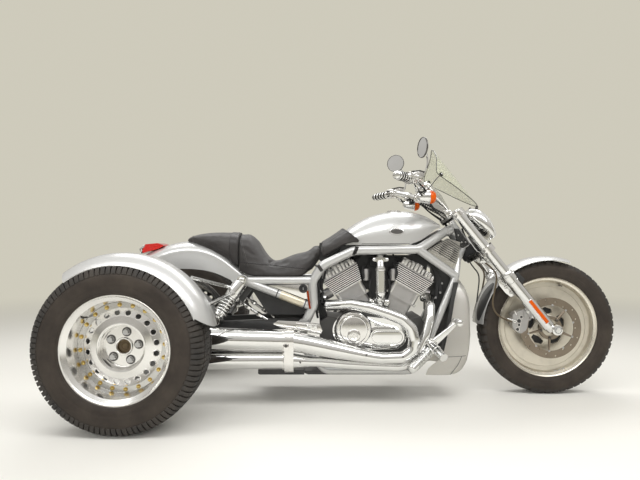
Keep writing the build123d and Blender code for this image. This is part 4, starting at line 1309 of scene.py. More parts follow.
# ---------------------------------------------------------------- upholstery
@dataclass
class Cushion:
    """A padded piece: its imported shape, remeshed, blown up as cloth and dressed in leather."""

    node: str
    floor: float
    ends: tuple[float, float]
    held_ends: tuple[bool, bool] = (True, True)
    voxel: float = 0.0065
    shrink: float = 5.0
    cap: float = 15.0
    pressure: float = 4.0
    frames: int = 20
    fill: float = 0.8
    pleats: float = 0.0

    def shape(self) -> bpy.types.Object:
        """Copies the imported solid, merges it and remeshes it evenly.

        Returns:
            The remeshed object.
        """
        bm = opened(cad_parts[self.node].data)
        bmesh.ops.remove_doubles(bm, verts=bm.verts, dist=1e-5)
        mesh = bpy.data.meshes.new(f"{self.node}_cover")
        closed(bm, mesh)
        piece = bpy.data.objects.new(f"{self.node}_cover", mesh)
        bpy.context.scene.collection.objects.link(piece)
        remesh = piece.modifiers.new("even", "REMESH")
        remesh.mode = "VOXEL"
        remesh.voxel_size = self.voxel
        self.apply(piece)
        return piece

    @staticmethod
    def apply(piece: bpy.types.Object) -> None:
        """Bakes the piece's modifiers into its mesh."""
        graph = bpy.context.evaluated_depsgraph_get()
        mesh = bpy.data.meshes.new_from_object(piece.evaluated_get(graph))
        piece.modifiers.clear()
        old = piece.data
        piece.data = mesh
        bpy.data.meshes.remove(old)

    def hold(self, at: Vector) -> float:
        """How firmly a point is held: 1 on the base and at the ends that meet a neighbour, 0 elsewhere.

        Args:
            at: The point.

        Returns:
            The hold, from 0 to 1.
        """
        x, z = at.x / MM, at.z / MM
        hold = max(0.0, 1.0 - max(0.0, z - self.floor) / 22.0) if self.floor else 0.0
        for end, held, way in zip(self.ends, self.held_ends, (1, -1)):
            if held:
                hold = max(hold, 1.0 - max(0.0, (x - end) * way) / 16.0)
        return min(1.0, hold)

    def slim(self, piece: bpy.types.Object) -> None:
        """Softens the shape's edges and draws its free surface in, so that it can swell."""
        bm = opened(piece.data)
        relax(bm, 7, 0.5)
        bm.normal_update()
        for vert in bm.verts:
            vert.co -= vert.normal * self.shrink * MM * (1.0 - 0.6 * self.hold(vert.co))
        closed(bm, piece.data)

    def inflate(self, piece: bpy.types.Object) -> None:
        """Blows the piece up as cloth for a few frames, with no point moved beyond the cap."""
        group = piece.vertex_groups.new(name="held")
        for vert in piece.data.vertices:
            weight = self.hold(vert.co)
            if weight > 0.02:
                group.add([vert.index], weight, "REPLACE")
        cloth = piece.modifiers.new("cloth", "CLOTH")
        cloth.settings.quality = 4
        cloth.settings.mass = 0.3
        cloth.settings.tension_stiffness = 22.0
        cloth.settings.compression_stiffness = 10.0
        cloth.settings.shear_stiffness = 10.0
        cloth.settings.bending_stiffness = 1.6
        cloth.settings.use_pressure = True
        cloth.settings.uniform_pressure_force = self.pressure
        cloth.settings.vertex_group_mass = "held"
        cloth.settings.effector_weights.gravity = 0.0
        cloth.collision_settings.use_collision = False
        cloth.point_cache.frame_start = 1
        cloth.point_cache.frame_end = self.frames
        start = [vert.co.copy() for vert in piece.data.vertices]
        for step in range(1, self.frames + 1):
            bpy.context.scene.frame_set(step)
        graph = bpy.context.evaluated_depsgraph_get()
        blown = piece.evaluated_get(graph).to_mesh()
        moved = [vert.co.copy() for vert in blown.vertices]
        piece.evaluated_get(graph).to_mesh_clear()
        piece.modifiers.clear()
        limit = self.cap * MM
        for vert, old, new in zip(piece.data.vertices, start, moved):
            step_by = new - old
            if step_by.length > limit:
                step_by.length = limit
            vert.co = old + step_by
        bpy.context.scene.frame_set(1)

    def pleat(self, piece: bpy.types.Object) -> None:
        """Presses lengthwise pleats into the top of the piece."""
        low, high = self.ends
        for vert in piece.data.vertices:
            x, y = vert.co.x / MM, vert.co.y / MM
            share = (x - low) / (high - low)
            reach = max(0.0, min(1.0, (share - 0.08) / 0.2)) * max(0.0, min(1.0, (1.0 - share) / 0.12))
            wave = abs(math.sin(math.pi * (y + 0.22 * (x - low)) / 24.0)) ** 0.7 - 0.6
            vert.co.z += self.pleats * wave * reach * MM

    def build(self) -> bpy.types.Object:
        """Makes the covered cushion.

        Returns:
            The piece's object.
        """
        piece = self.shape()
        self.slim(piece)
        self.inflate(piece)
        if self.pleats:
            self.pleat(piece)
        bm = opened(piece.data)
        relax(bm, 2, 0.4)
        closed(bm, piece.data)
        piece.data.shade_smooth()
        piece.data.materials.clear()
        piece.data.materials.append(Finishes.leather.build())
        smooth = piece.modifiers.new("smooth", "SUBSURF")
        smooth.levels = 1
        smooth.render_levels = 1
        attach(piece, Body.CHASSIS.value)
        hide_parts(self.node)
        LOG.info("%s: %d faces, padded", piece.name, len(piece.data.polygons))
        return piece


class Seams:
    """Lines and bands sewn on to a finished cushion."""

    @staticmethod
    def section(piece: bpy.types.Object, at: Vector, normal: Vector) -> list[Vector]:
        """Cuts the cushion with a plane and follows the longest line of the cut.

        Args:
            piece: The cushion.
            at: A point on the plane.
            normal: The plane's normal.

        Returns:
            The line's points, in order.
        """
        bm = opened(piece.data)
        cut = bmesh.ops.bisect_plane(
            bm, geom=[*bm.verts, *bm.edges, *bm.faces], plane_co=at, plane_no=normal, dist=1e-6
        )["geom_cut"]
        edges = dict.fromkeys(only(cut, bmesh.types.BMEdge))  # in order, so that each run gives the same line
        best: list[Vector] = []
        while edges:
            edge = edges.popitem()[0]
            chain = [edge.verts[0], edge.verts[1]]
            for grow_back in (False, True):
                while True:
                    tip = chain[0] if grow_back else chain[-1]
                    step = next((e for e in tip.link_edges if e in edges), None)
                    if step is None:
                        break
                    del edges[step]
                    chain.insert(0 if grow_back else len(chain), step.other_vert(tip))
            if len(chain) > len(best):
                best = [vert.co.copy() for vert in chain]
        bm.free()
        return best

    @staticmethod
    def thin(points: list[Vector], gap: float, keep: Callable[[Vector], bool]) -> list[Vector]:
        """Keeps the wanted part of a line, with evenly spaced points.

        Args:
            points: The line's points.
            gap: The distance between two points, in millimetres.
            keep: Tells whether a point is wanted.

        Returns:
            The thinned line.
        """
        marks = [keep(p) for p in points]
        if not all(marks) and any(marks):
            start = next(i for i in range(len(points)) if marks[i] and not marks[i - 1])
            points = points[start:] + points[:start]
            marks = marks[start:] + marks[:start]
            end = next((i for i, mark in enumerate(marks) if not mark), len(points))
            points = points[:end]
        kept: list[Vector] = []
        for point in points:
            if not kept or (point - kept[-1]).length > gap * MM:
                kept.append(point)
        return kept

    @classmethod
    def piping(
        cls, piece: bpy.types.Object, at: Vector, normal: Vector, radius: float,
        keep: Callable[[Vector], bool]
    ) -> Mesh:
        """A round welt along a cut of the cushion.

        Args:
            piece: The cushion.
            at: A point on the cutting plane.
            normal: The plane's normal.
            radius: The welt's radius, in millimetres.
            keep: Tells which part of the line is wanted.

        Returns:
            The welt's mesh.
        """
        line = cls.thin(cls.section(piece, at, normal), 9.0, keep)
        return tube(line, radius, sides=8, smooth=3)

    @classmethod
    def stitches(
        cls, piece: bpy.types.Object, at: Vector, normal: Vector, keep: Callable[[Vector], bool]
    ) -> Mesh:
        """A row of small stitches along a cut of the cushion.

        Args:
            piece: The cushion.
            at: A point on the cutting plane.
            normal: The plane's normal.
            keep: Tells which part of the line is wanted.

        Returns:
            The stitches' mesh.
        """
        line = cls.thin(cls.section(piece, at, normal), 5.5, keep)
        parts = [rod(a.lerp(b, 0.12), a.lerp(b, 0.82), 0.75, sides=5) for a, b in zip(line, line[1:])]
        return join(*parts)

    @staticmethod
    def band(
        piece: bpy.types.Object, low: Vector, high: Vector, normal: Vector, thick: float,
        keep: Callable[[Vector], bool]
    ) -> Mesh:
        """A flat strap laid over the cushion between two parallel planes.

        Args:
            piece: The cushion.
            low: A point on the first plane.
            high: A point on the second plane.
            normal: The planes' normal.
            thick: The strap's thickness, in millimetres.
            keep: Tells which faces are under the strap, by their middles.

        Returns:
            The strap's mesh.
        """
        bm = opened(piece.data)
        for at, way in ((low, normal), (high, -normal)):
            bmesh.ops.bisect_plane(
                bm, geom=[*bm.verts, *bm.edges, *bm.faces], plane_co=at, plane_no=way, clear_inner=True,
                dist=1e-6
            )
        unwanted = [face for face in bm.faces if not keep(face.calc_center_median())]
        bmesh.ops.delete(bm, geom=unwanted, context="FACES")
        bm.normal_update()
        for vert in bm.verts:
            vert.co += vert.normal * 0.8 * MM
        bmesh.ops.solidify(bm, geom=list(bm.faces), thickness=-thick * MM)
        return bm


@dataclass
class Upholstery(SubAssembly):
    """The rider's seat, the passenger's seat and the strapped bib on the tank."""

    split: float = -563.0
    body: Body = Body.CHASSIS

    def build(self) -> None:
        """Makes the cushions and what is sewn or strapped to them."""
        rider = Cushion("seat_rider", 582.0, (self.split, -166.0), (True, False), cap=12.0, fill=0.9).build()
        pillion = Cushion(
            "seat_pillion", 0.0, (-828.0, self.split - 1), (False, True), cap=9.0, shrink=4.0, fill=0.9
        ).build()
        pouch = Cushion(
            "tank_pouch", 0.0, (-170.0, 12.0), (False, True), cap=8.0, shrink=3.0, fill=0.6, pleats=2.6
        ).build()
        bm = opened(pouch.data)
        bmesh.ops.bisect_plane(
            bm, geom=[*bm.verts, *bm.edges, *bm.faces], plane_co=mm(13, 0, 744), plane_no=(0.636, 0, 0.773),
            clear_outer=True
        )
        bmesh.ops.holes_fill(bm, edges=bm.edges, sides=0)
        closed(bm, pouch.data)
        self.trim(rider, pillion, pouch)

    def trim(self, rider: bpy.types.Object, pillion: bpy.types.Object, pouch: bpy.types.Object) -> None:
        """Makes the welts, stitches and straps.

        Args:
            rider: The rider's seat.
            pillion: The passenger's seat.
            pouch: The bib on the tank.
        """
        along = Vector((1, 0, 0))
        welts = [
            Seams.piping(rider, mm(-528, 0, 640), Vector((1.0, 0, 0.28)), 2.1, lambda p: p.z > 0.60),
            Seams.piping(rider, mm(-300, 0, 618), Vector((0.10, 0.0, 0.995)), 2.3, lambda p: p.x > -0.56),
            Seams.piping(pillion, mm(-606, 0, 700), along, 1.8, lambda p: p.z > 0.64),
            Seams.piping(pillion, mm(-700, 0, 722), Vector((0.42, 0.0, 0.907)), 2.0, lambda p: p.x < -0.607),
            Seams.piping(pouch, mm(-152, 0, 700), Vector((1.0, 0, 0.5)), 2.0, lambda p: p.z > 0.67),
            Seams.piping(pouch, mm(9, 0, 739), Vector((0.636, 0, 0.773)), 2.0, lambda p: p.z > 0.73),
        ]
        self.put(welts, "seat_welts", Finishes.leather_trim, sharp=60.0)
        rows = [
            Seams.stitches(rider, mm(-519, 0, 640), Vector((1.0, 0, 0.28)), lambda p: p.z > 0.62),
            Seams.stitches(rider, mm(-300, 0, 610), Vector((0.10, 0.0, 0.995)), lambda p: p.x > -0.55),
            Seams.stitches(pillion, mm(-566.5, 0, 700), along, lambda p: p.z > 0.66),
            Seams.stitches(pillion, mm(-600, 0, 700), along, lambda p: p.z > 0.66),
        ]
        self.put(rows, "seat_stitches", Finishes.thread)
        strap = Seams.band(pillion, mm(-602, 0, 700), mm(-568, 0, 700), along, 2.6, lambda p: p.z > 0.635)
        self.put([strap], "seat_strap", Finishes.leather_trim, sharp=40.0)


# ---------------------------------------------------------------- engine and exhaust
@dataclass
class Engine(SubAssembly):
    """Fasteners, plumbing and trim on the V-twin."""

    body: Body = Body.CHASSIS
    crank: tuple[float, float] = (98.0, 279.0)
    vee: float = 30.0
    cover_face: float = -158.0
    clutch: tuple[float, float] = (-22.0, 336.0)
    oblong: tuple[float, float] = (131.0, 302.0)

    def along(self, lean: int, up: float, across: float, y: float) -> Vector:
        """A point on one cylinder.

        Args:
            lean: -1 for the rear cylinder, 1 for the front one.
            up: Its distance from the crank along the cylinder, in millimetres.
            across: Its distance ahead of the cylinder's middle, in millimetres.
            y: Its Y in millimetres.

        Returns:
            The point.
        """
        c, s = math.cos(math.radians(self.vee)), math.sin(math.radians(self.vee))
        x = self.crank[0] + lean * s * up + c * across
        z = self.crank[1] + c * up - lean * s * across
        return mm(x, y, z)

    def turn(self, lean: int) -> Matrix:
        """The rotation that lays a block along one cylinder."""
        return turned(self.vee * lean)

    def build(self) -> None:
        """Makes every piece."""
        self.heads()
        self.covers()
        self.wiring()

    def heads(self) -> None:
        """Cam cover towers, bolts, spark plugs, fins with painted shade between them, and the seams of both
        cylinders.
        """
        towers, bolts, plugs, seams, fins, gap_shade = [], [], [], [], [], []
        for lean in (-1, 1):
            for across, size, high in (
                (-80, 13, 388), (-66, 15, 396), (-47, 12, 390), (-30, 13, 399), (-12, 15, 403),
                (8, 14, 402), (26, 11, 388), (46, 15, 392), (62, 14, 391), (80, 12, 384)
            ):
                x = across * lean if lean < 0 else across
                for y in (-112, 112):
                    at = self.along(lean, (high + 366) / 2, x, y)
                    towers.append(box(at, (size, 18, high - 366), soft=3.5, turn=self.turn(lean), segments=3))
                    way = self.along(lean, 400, 0, 0) - self.along(lean, 300, 0, 0)
                    bolts.append(bolt(self.along(lean, high - 0.5, x, y), way, 4.2, 4.0, round_head=True))
            for y, out in ((-108, -1), (108, 1)):
                for across in (-58, 58):
                    seams.append(box(
                        self.along(lean, 250, across, y + out * 1.0), (9, 5, 60), soft=1.6,
                        turn=self.turn(lean)
                    ))
                seams.append(box(
                    self.along(lean, 280.0, 0, y + out * 1.2), (146, 6, 3.6), soft=0.8, turn=self.turn(lean)
                ))
                for up, across in ((224, -74), (224, 74), (276, -62), (276, 62)):
                    bolts.append(bolt(
                        self.along(lean, up, across * 0.96, y + out * 3.6), (0, out, 0), 5.0, 4.5,
                        washer=6.4, round_head=True
                    ))
            for i in range(9):
                up, width = 282.0 + 8.667 * i, 146.0 + 4.75 * i
                fins.append(box(
                    self.along(lean, up + 1.8, 0, 0), (width + 1.2, 229.2, 3.4), soft=0.8,
                    turn=self.turn(lean)
                ))
                # black slabs between the fins: painted shade in the gaps
                gap_shade.append(
                    box(self.along(lean, up + 6.1, 0, 0), (width - 12, 219, 5.0), turn=self.turn(lean))
                )
            plug = self.along(lean, 372, -lean * 98, -70)
            lead = [
                plug, plug + mm(-lean * 22, -16, 16), plug + mm(-lean * 30, -10, 52),
                mm(104 + lean * 18, -84, 668)
            ]
            plugs += [
                tube(lead, 4.0, sides=10),
                rod(plug - mm(-lean * 8, 0, 6), plug + mm(-lean * 12, -8, 9), 8.0, 6.0, soft=1.0)
            ]
        self.put(towers, "cam_towers", Finishes.bright_cast, sharp=45.0)
        self.put(bolts, "head_bolts", Finishes.chrome)
        self.put(fins, "barrel_fins", Finishes.fins, sharp=40.0)
        self.put(gap_shade, "fin_gap_shade", Finishes.plastic, sharp=40.0)
        self.put(seams, "barrel_edges", Finishes.engine_bright, sharp=40.0)
        self.put(plugs, "plug_leads", Finishes.hose)

    def covers(self) -> None:
        """The dressing of the clutch cover, the oblong cover and the case between them."""
        cx, cz = self.clutch
        face = self.cover_face
        way = (0, -1, 0)
        centre = mm(cx, 0, cz)
        disc = [
            (0.05, 212.6), (56, 212.4), (60.5, 210.8), (63.0, 207.0), (64.5, 201.4), (70, 200.8),
            (76.0, 199.6), (79.2, 195.4), (80.6, 187), (80.6, 160), (0.05, 160)
        ]
        self.put([lathe(disc, centre, 128, -1)], "clutch_cover", Finishes.polished, sharp=24.0)
        hub = [
            (0.05, 220.4), (5, 220.4), (6.5, 218.6), (14, 218.6), (16, 220.2), (22, 220.2), (27, 218.0),
            (29.4, 213.6), (29.8, 206), (0.05, 206)
        ]
        self.put([lathe(hub, mm(cx, 0, cz - 25), 72, -1)], "clutch_boss", Finishes.polished, sharp=24.0)
        # a black ring round the cover: painted shade in the gap between the clutch cover and the case
        groove = [(80.4, 166), (83.0, 166), (84.6, 164), (84.6, 158.6), (80.4, 158.6)]
        rims = [lathe(groove, centre, 96, -1)]
        self.put(rims, "clutch_gap_shade", Finishes.black, sharp=30.0)
        ring_bolts = around(
            bolt(centre + mm(70.5, -200.6, 0), way, 4.4, 4.4, round_head=True), centre, 6, (0, 1, 0)
        )
        small = around(
            bolt(mm(cx + 12, -218.4, cz - 25), way, 2.6, 2.2, round_head=True), mm(cx, 0, cz - 25), 5
        )
        ox, oz = self.oblong
        bolts = [ring_bolts, small]
        for x, z in (
            (ox - 36, oz + 36.5), (ox + 36, oz + 36.5), (ox - 36, oz - 36.5), (ox + 36, oz - 36.5),
            (ox + 74, oz), (-92, 350), (-94, 300), (-60, 262), (20, 250), (84, 246), (60, 372), (12, 408),
            (120, 350), (164, 338)
        ):
            bolts.append(bolt(mm(x, face + 0.4, z), way, 5.4, 6.0, washer=7.4, round_head=True))
        self.put(bolts, "cover_bolts", Finishes.chrome)
        ribs = []
        for start, end, radius in (
            ((78, -159, 352), (150, -159, 345), 4.0), ((66, -159, 260), (150, -159, 256), 4.5),
            ((-96, -159, 372), (-40, -159, 402), 5.0), ((14, -159, 262), (60, -159, 256), 5.0)
        ):
            ribs.append(rod(mm(*start), mm(*end), radius, soft=1.0))
        outline = [
            (-104, 300), (-108, 344), (-86, 392), (-40, 414), (10, 408), (52, 378), (96, 356), (180, 342),
            (208, 312), (196, 262), (150, 246), (60, 240), (-30, 238), (-84, 256)
        ]
        ribs.append(tube([mm(x, face - 0.5, z) for x, z in outline], 4.4, sides=10, loop=True))
        self.put(ribs, "cover_ribs", Finishes.chrome)
        stadium = self.stadium(ox, oz, -200.2, 42.2, 29.3)
        self.put([stadium], "oblong_face", Finishes.chrome, sharp=24.0)
        self.right_fittings()

    @staticmethod
    def stadium(x: float, z: float, y: float, half: float, radius: float) -> Mesh:
        """The raised, round-ended face of the oblong cover.

        Args:
            x: Its middle's X, in millimetres.
            z: Its middle's Z.
            y: Its seat's Y.
            half: The distance from its middle to the middle of an end.
            radius: The radius of its ends.

        Returns:
            Its mesh.
        """
        bm = bmesh.new()
        bmesh.ops.create_circle(bm, cap_ends=True, segments=64, radius=radius * MM)
        for vert in bm.verts:
            vert.co.x += math.copysign(half, vert.co.x) * MM if abs(vert.co.x) > 1e-6 else 0.0
        bmesh.ops.transform(bm, matrix=Matrix.Translation(mm(x, y, z)) @ turned(90, "X"), verts=bm.verts)
        face = bm.faces[:]
        grown = bmesh.ops.extrude_face_region(bm, geom=face)["geom"]
        top = only(grown, bmesh.types.BMFace)
        bmesh.ops.translate(bm, vec=mm(0, -7, 0), verts=list(dict.fromkeys(v for f in top for v in f.verts)))
        soften(bm, (e for f in top for e in f.edges), 5.0, 5)
        bmesh.ops.recalc_face_normals(bm, faces=bm.faces)
        return bm

    def right_fittings(self) -> None:
        """The collars and sensors round the water pipe and the small cases at the vee's foot."""
        parts = []
        for x, z, size in ((66, 458, 15), (138, 452, 17)):
            parts.append(ball(mm(x, -128, z), (size, 12, size)))
            parts.append(bolt(mm(x, -139, z), (0, -1, 0), 7.0, 6.0, washer=10.0))
        pipe = [
            ((106, -146, 604), (106, -146, 618), 24.4), ((106, -146, 498), (106, -146, 506), 24.2),
            ((106, -134, 462), (106, -139, 474), 25.6)
        ]
        for start, end, radius in pipe:
            parts.append(rod(mm(*start), mm(*end), radius, sides=40, soft=1.2))
        for x in (76, 136):
            parts.append(ball(mm(x, -152, 656), (9.5, 8, 9.0)))
        self.put(parts, "water_pipe_fittings", Finishes.chrome, sharp=40.0)

    def wiring(self) -> None:
        """Hoses, throttle bodies and looms in the dark spaces of the engine bay, with black sheets that paint
        its shade.
        """
        hoses = [
            [(40, -96, 640), (24, -112, 612), (30, -118, 574), (46, -104, 548)],
            [(172, -96, 640), (190, -112, 606), (182, -118, 570), (166, -104, 548)],
            [(66, -112, 560), (58, -128, 540), (60, -124, 505), (70, -118, 470)],
            [(146, -112, 560), (154, -128, 540), (152, -124, 505), (142, -118, 470)],
            [(330, -92, 660), (372, -100, 612), (396, -98, 560), (400, -92, 500)],
            [(300, -80, 686), (352, -90, 640), (376, -96, 590), (384, -96, 540), (380, -90, 470)],
            [(-186, -118, 520), (-176, -128, 470), (-190, -124, 430), (-170, -110, 390)],
            [(-196, -112, 540), (-190, -132, 492), (-204, -128, 448), (-188, -112, 400)],
            [(-150, -120, 600), (-158, -130, 560), (-176, -126, 520), (-168, -118, 470)],
        ]
        tubes = [
            tube(placed(hose), radius, sides=12)
            for hose, radius in zip(hoses, (7, 7, 5, 5, 10, 8, 5, 6, 5))
        ]
        bodies = [
            rod(mm(44, -60, 592), mm(44, -116, 592), 24, 21, soft=3),
            rod(mm(168, -60, 592), mm(168, -116, 592), 24, 21, soft=3),
            box(mm(44, -100, 566), (34, 26, 30), soft=5), box(mm(168, -100, 566), (34, 26, 30), soft=5),
            box(mm(106, -92, 640), (96, 30, 34), soft=6),
        ]
        self.put([*tubes, *bodies], "engine_looms", Finishes.hose, sharp=40.0)
        metal = [
            rod(mm(43, -110, 556), mm(43, -110, 611), 13, 12, soft=2),
            rod(mm(169, -110, 556), mm(169, -110, 611), 13, 12, soft=2),
            bolt(mm(38, -114, 560), (0, -1, 0), 5, 5, round_head=True),
            bolt(mm(174, -114, 560), (0, -1, 0), 5, 5, round_head=True),
            rod(mm(-180, -122, 512), mm(-172, -130, 500), 6.5, soft=1),
            rod(mm(404, -96, 545), mm(404, -104, 538), 4.5, soft=1),
            rod(mm(396, -96, 500), mm(396, -106, 496), 5.0, soft=1),
            rod(mm(378, -92, 478), mm(374, -102, 470), 4.5, soft=1),
        ]
        self.put(metal, "loom_fittings", Finishes.engine)
        # black sheets across the bay: painted shade in the spaces between the engine, the frame and the tank
        bay = [
            [
                (-150, 600), (-10, 676), (306, 676), (345, 640), (330, 560), (250, 470), (-60, 470),
                (-128, 560)
            ],
            [(-190, 614), (-157, 643), (-162, 508), (-142, 373), (-176, 353), (-190, 459)],
            [(-190, 664), (-178, 735), (-60, 742), (0, 722), (0, 680), (-150, 622)],
        ]
        self.put((slab(outline, -66, 66) for outline in bay), "bay_painted_shade", Finishes.plastic, sharp=40.0)


@dataclass
class Exhaust(SubAssembly):
    """Clamps, shields and brackets on the pipes and mufflers."""

    body: Body = Body.CHASSIS
    front: float = -331.0

    def build(self) -> None:
        """Makes every piece."""
        self.strap()
        self.bracket()
        rings = [
            lathe([
                (46.6, -3), (48.4, -2), (48.4, 2), (46.6, 3)
            ], mm(self.front + 4, -270, 297), 72, axis=(1, 0, 0)),
            lathe([
                (37.6, -3), (39.4, -2), (39.4, 2), (37.6, 3)
            ], mm(self.front + 4, -262, 210), 64, axis=(1, 0, 0)),
            lathe(
                [(19.6, -6), (23.5, -4), (23.5, 4), (19.6, 6)], mm(-146, -62, 484), 48, axis=(0.5, 0.5, 0.7)
            ),
            lathe([(20, -5), (30, -4), (30, 4), (20, 5)], mm(324, -63, 480), 48, axis=(0.8, -0.5, -0.2)),
        ]
        self.put(rings, "pipe_rings", Finishes.chrome, sharp=30.0)
        screws = [
            bolt(mm(x, y, z), (0, -1, 0.12), 4.0, 2.4, round_head=True)
            for x, y, z in ((-206, -307.5, 280), (-262, -287.5, 205), (28, -286.5, 238), (190, -279.2, 228))
        ]
        self.put(screws, "shield_screws", Finishes.dark_steel)

    def strap(self) -> None:
        """The wide clamp that ties both mufflers, with its two buckles."""
        parts = []
        for z, y, radius in ((297, -270, 47.2), (210, -262, 38.2)):
            for x in (-338.5, -307.5):
                parts.append(lathe([
                    (radius, -3), (radius + 3.4, -3), (radius + 3.4, 3), (radius, 3)
                ], mm(x, y, z), 64, axis=(1, 0, 0)))
        self.put(parts, "clamp_bands", Finishes.polished, sharp=30.0)
        buckles = [
            box(mm(-323, -318.5, 276), (24, 6, 30), soft=2.4),
            box(mm(-323, -303.0, 222), (24, 6, 32), soft=2.4),
            box(mm(-323, -306, 249), (27, 12, 20), soft=3)
        ]
        self.put(buckles, "clamp_buckles", Finishes.polished, sharp=30.0)
        pins = [rod(mm(-334, -314, z), mm(-312, -314, z), 3.4, soft=0.6) for z in (258, 240)]
        pins += [
            bolt(mm(-323, -321.4, 284), (0, -1, 0), 5, 4, washer=7),
            bolt(mm(-323, -306.0, 214), (0, -1, 0), 5, 4, washer=7)
        ]
        self.put(pins, "clamp_pins", Finishes.dark_steel)

    def bracket(self) -> None:
        """The polished heel guard over the pipes."""
        outline = [
            (-391, 364), (-367, 380), (-276, 376), (-176, 364), (-164, 335), (-171, 316), (-291, 335),
            (-352, 346)
        ]
        guard = slab(outline, -214, -204, soft=3.0)
        boxed = slab([(-288, 370), (-190, 360), (-182, 330), (-280, 340)], -222, -212, soft=4.0)
        self.put([guard, boxed], "heel_guard", Finishes.polished, sharp=40.0)
        bolts = [
            bolt(mm(x, -222, z), (0, -1, 0), 5.5, 5.0, washer=8.0, round_head=True)
            for x, z in ((-218, 352), (-198, 349))
        ]
        bolts.append(rod(mm(-236, -222, 362), mm(-224, -226, 342), 4.0, soft=1.0))
        self.put(bolts, "heel_bolts", Finishes.chrome)


# ---------------------------------------------------------------- frame, suspension and bodywork
@dataclass
class Suspension(SubAssembly):
    """Two coil-over shock absorbers: a chrome shroud, an open spring, a damper body and its end eyes."""

    body: Body = Body.CHASSIS
    top: tuple[float, float, float] = (-534.0, 190.0, 561.0)
    low: tuple[float, float, float] = (-645.0, 250.0, 382.0)
    coils: float = 6.5
    coil_steps: int = 14
    spring_r: float = 27.0
    wire_r: float = 4.6

    def build(self) -> None:
        """Makes both shock absorbers and the link rods beside them."""
        for side in Side:
            self.unit(side)
        self.links()

    def unit(self, side: Side) -> None:
        """Makes one shock absorber.

        Args:
            side: Which side it is on.
        """
        sign = int(side)
        label = side.label
        top = mm(self.top[0], sign * self.top[1], self.top[2])
        low = mm(self.low[0], sign * self.low[1], self.low[2])
        way = (low - top).normalized()

        def at(distance: float) -> Vector:
            """A point by its distance from the top eye, in millimetres."""
            return top + way * distance * MM

        shroud = [(26, 0), (29.5, 2), (30.4, 8), (30.4, 74), (29.0, 80), (26.5, 82), (26.5, 60), (26, 10)]
        band = [(30.2, 56), (31.6, 58), (31.6, 66), (30.2, 68)]
        body = [
            (0.05, 70), (13, 70), (13, 150), (22, 152), (24, 156), (24, 176), (22, 179), (12, 182),
            (9, 196), (0.05, 196)
        ]
        perch = [(12, 156), (30, 156), (32.4, 158.5), (32.4, 163), (30, 165), (12, 165)]
        shapes = [lathe(p, at(12), 48, axis=way) for p in (shroud, band)]
        self.put(shapes, f"shock_shroud_{label}", Finishes.chrome, sharp=30.0)
        self.put([
            lathe(body, at(12), 36, axis=way), lathe(perch, at(12), 48, axis=way)
        ], f"shock_body_{label}", Finishes.chrome, sharp=30.0)
        quat = way.to_track_quat("Z", "Y").to_matrix()
        helix = []
        steps = int(self.coils * self.coil_steps)
        for i in range(steps + 1):
            turn = math.tau * i / self.coil_steps
            local = Vector(
                (self.spring_r * math.cos(turn), self.spring_r * math.sin(turn), 70.0 + 96.0 * i / steps)
            )
            helix.append(top + quat @ (local * MM))
        self.put([
            tube(helix, self.wire_r, sides=12, smooth=2)
        ], f"shock_spring_{label}", Finishes.chrome, sharp=60.0)
        y = Vector((0, sign, 0))
        eye = [(9, -15), (20, -15), (21.5, -12), (21.5, 12), (20, 15), (9, 15)]
        eyes = [lathe(eye, top, 40, sign), lathe(eye, low, 40, sign)]
        necks = [rod(at(14), at(22), 14, 22, soft=1), rod(at(196), at(206), 10, 13)]
        self.put([*eyes, *necks], f"shock_eyes_{label}", Finishes.polished, "shocks", sharp=30.0)
        bolts = [
            lathe([(0.05, 24), (9, 24), (13.5, 21), (15, 17), (15, 12), (0.05, 12)], top, 32, sign),
            lathe([(16.6, 15), (16.6, 17.6), (20.6, 17.6), (20.6, 15)], top, 40, sign)
        ]
        bolts.append(bolt(low + y * 14.5 * MM, y, 9.5, 8, washer=14))
        bolts.append(rod(top - y * 34 * MM, top + y * 12 * MM, 8.8))
        self.put(bolts, f"shock_bolts_{label}", Finishes.chrome, sharp=40.0)

    def links(self) -> None:
        """The chrome tie rods with their clevises and the chain adjusters between the arms and the frame."""
        for side in Side:
            y = int(side) * 104.0
            start, end = mm(-571, y, 467), mm(-405, y, 353)
            way = (end - start).normalized()
            parts = [rod(start + way * 0.02, end - way * 0.03, 7.0, soft=1)]
            for at, size in ((start, 12.5), (end, 13.5)):
                parts.append(lathe([
                    (5, -9), (size, -9), (size + 1.4, -7), (size + 1.4, 7), (size, 9), (5, 9)
                ], at, 32, 1))
                parts.append(bolt(at + Vector((0, int(side) * 0.009, 0)), (0, int(side), 0), 7, 6, washer=10))
            parts.append(rod(start + way * 0.052, start + way * 0.078, 11, sides=6, soft=1.0))
            parts.append(rod(end - way * 0.085, end - way * 0.055, 11, sides=6, soft=1.0))
            parts.append(rod(end - way * 0.055, end - way * 0.005, 9.5, 12.5, soft=1.0))
            self.put(parts, f"tie_rod_{side.label}", Finishes.chrome, sharp=40.0)
        mounts = []
        for side in Side:
            y = int(side) * 104.0
            mounts.append(slab([
                (-596, 470), (-584, 488), (-552, 486), (-500, 560), (-470, 560), (-540, 452), (-580, 446)
            ], y - 6, y + 6, soft=2.0))
            mounts.append(slab([
                (-436, 340), (-426, 372), (-398, 378), (-380, 366), (-376, 340)
            ], y - 6, y + 6, soft=2.0))
        self.put(mounts, "tie_rod_brackets", Finishes.black, sharp=40.0)


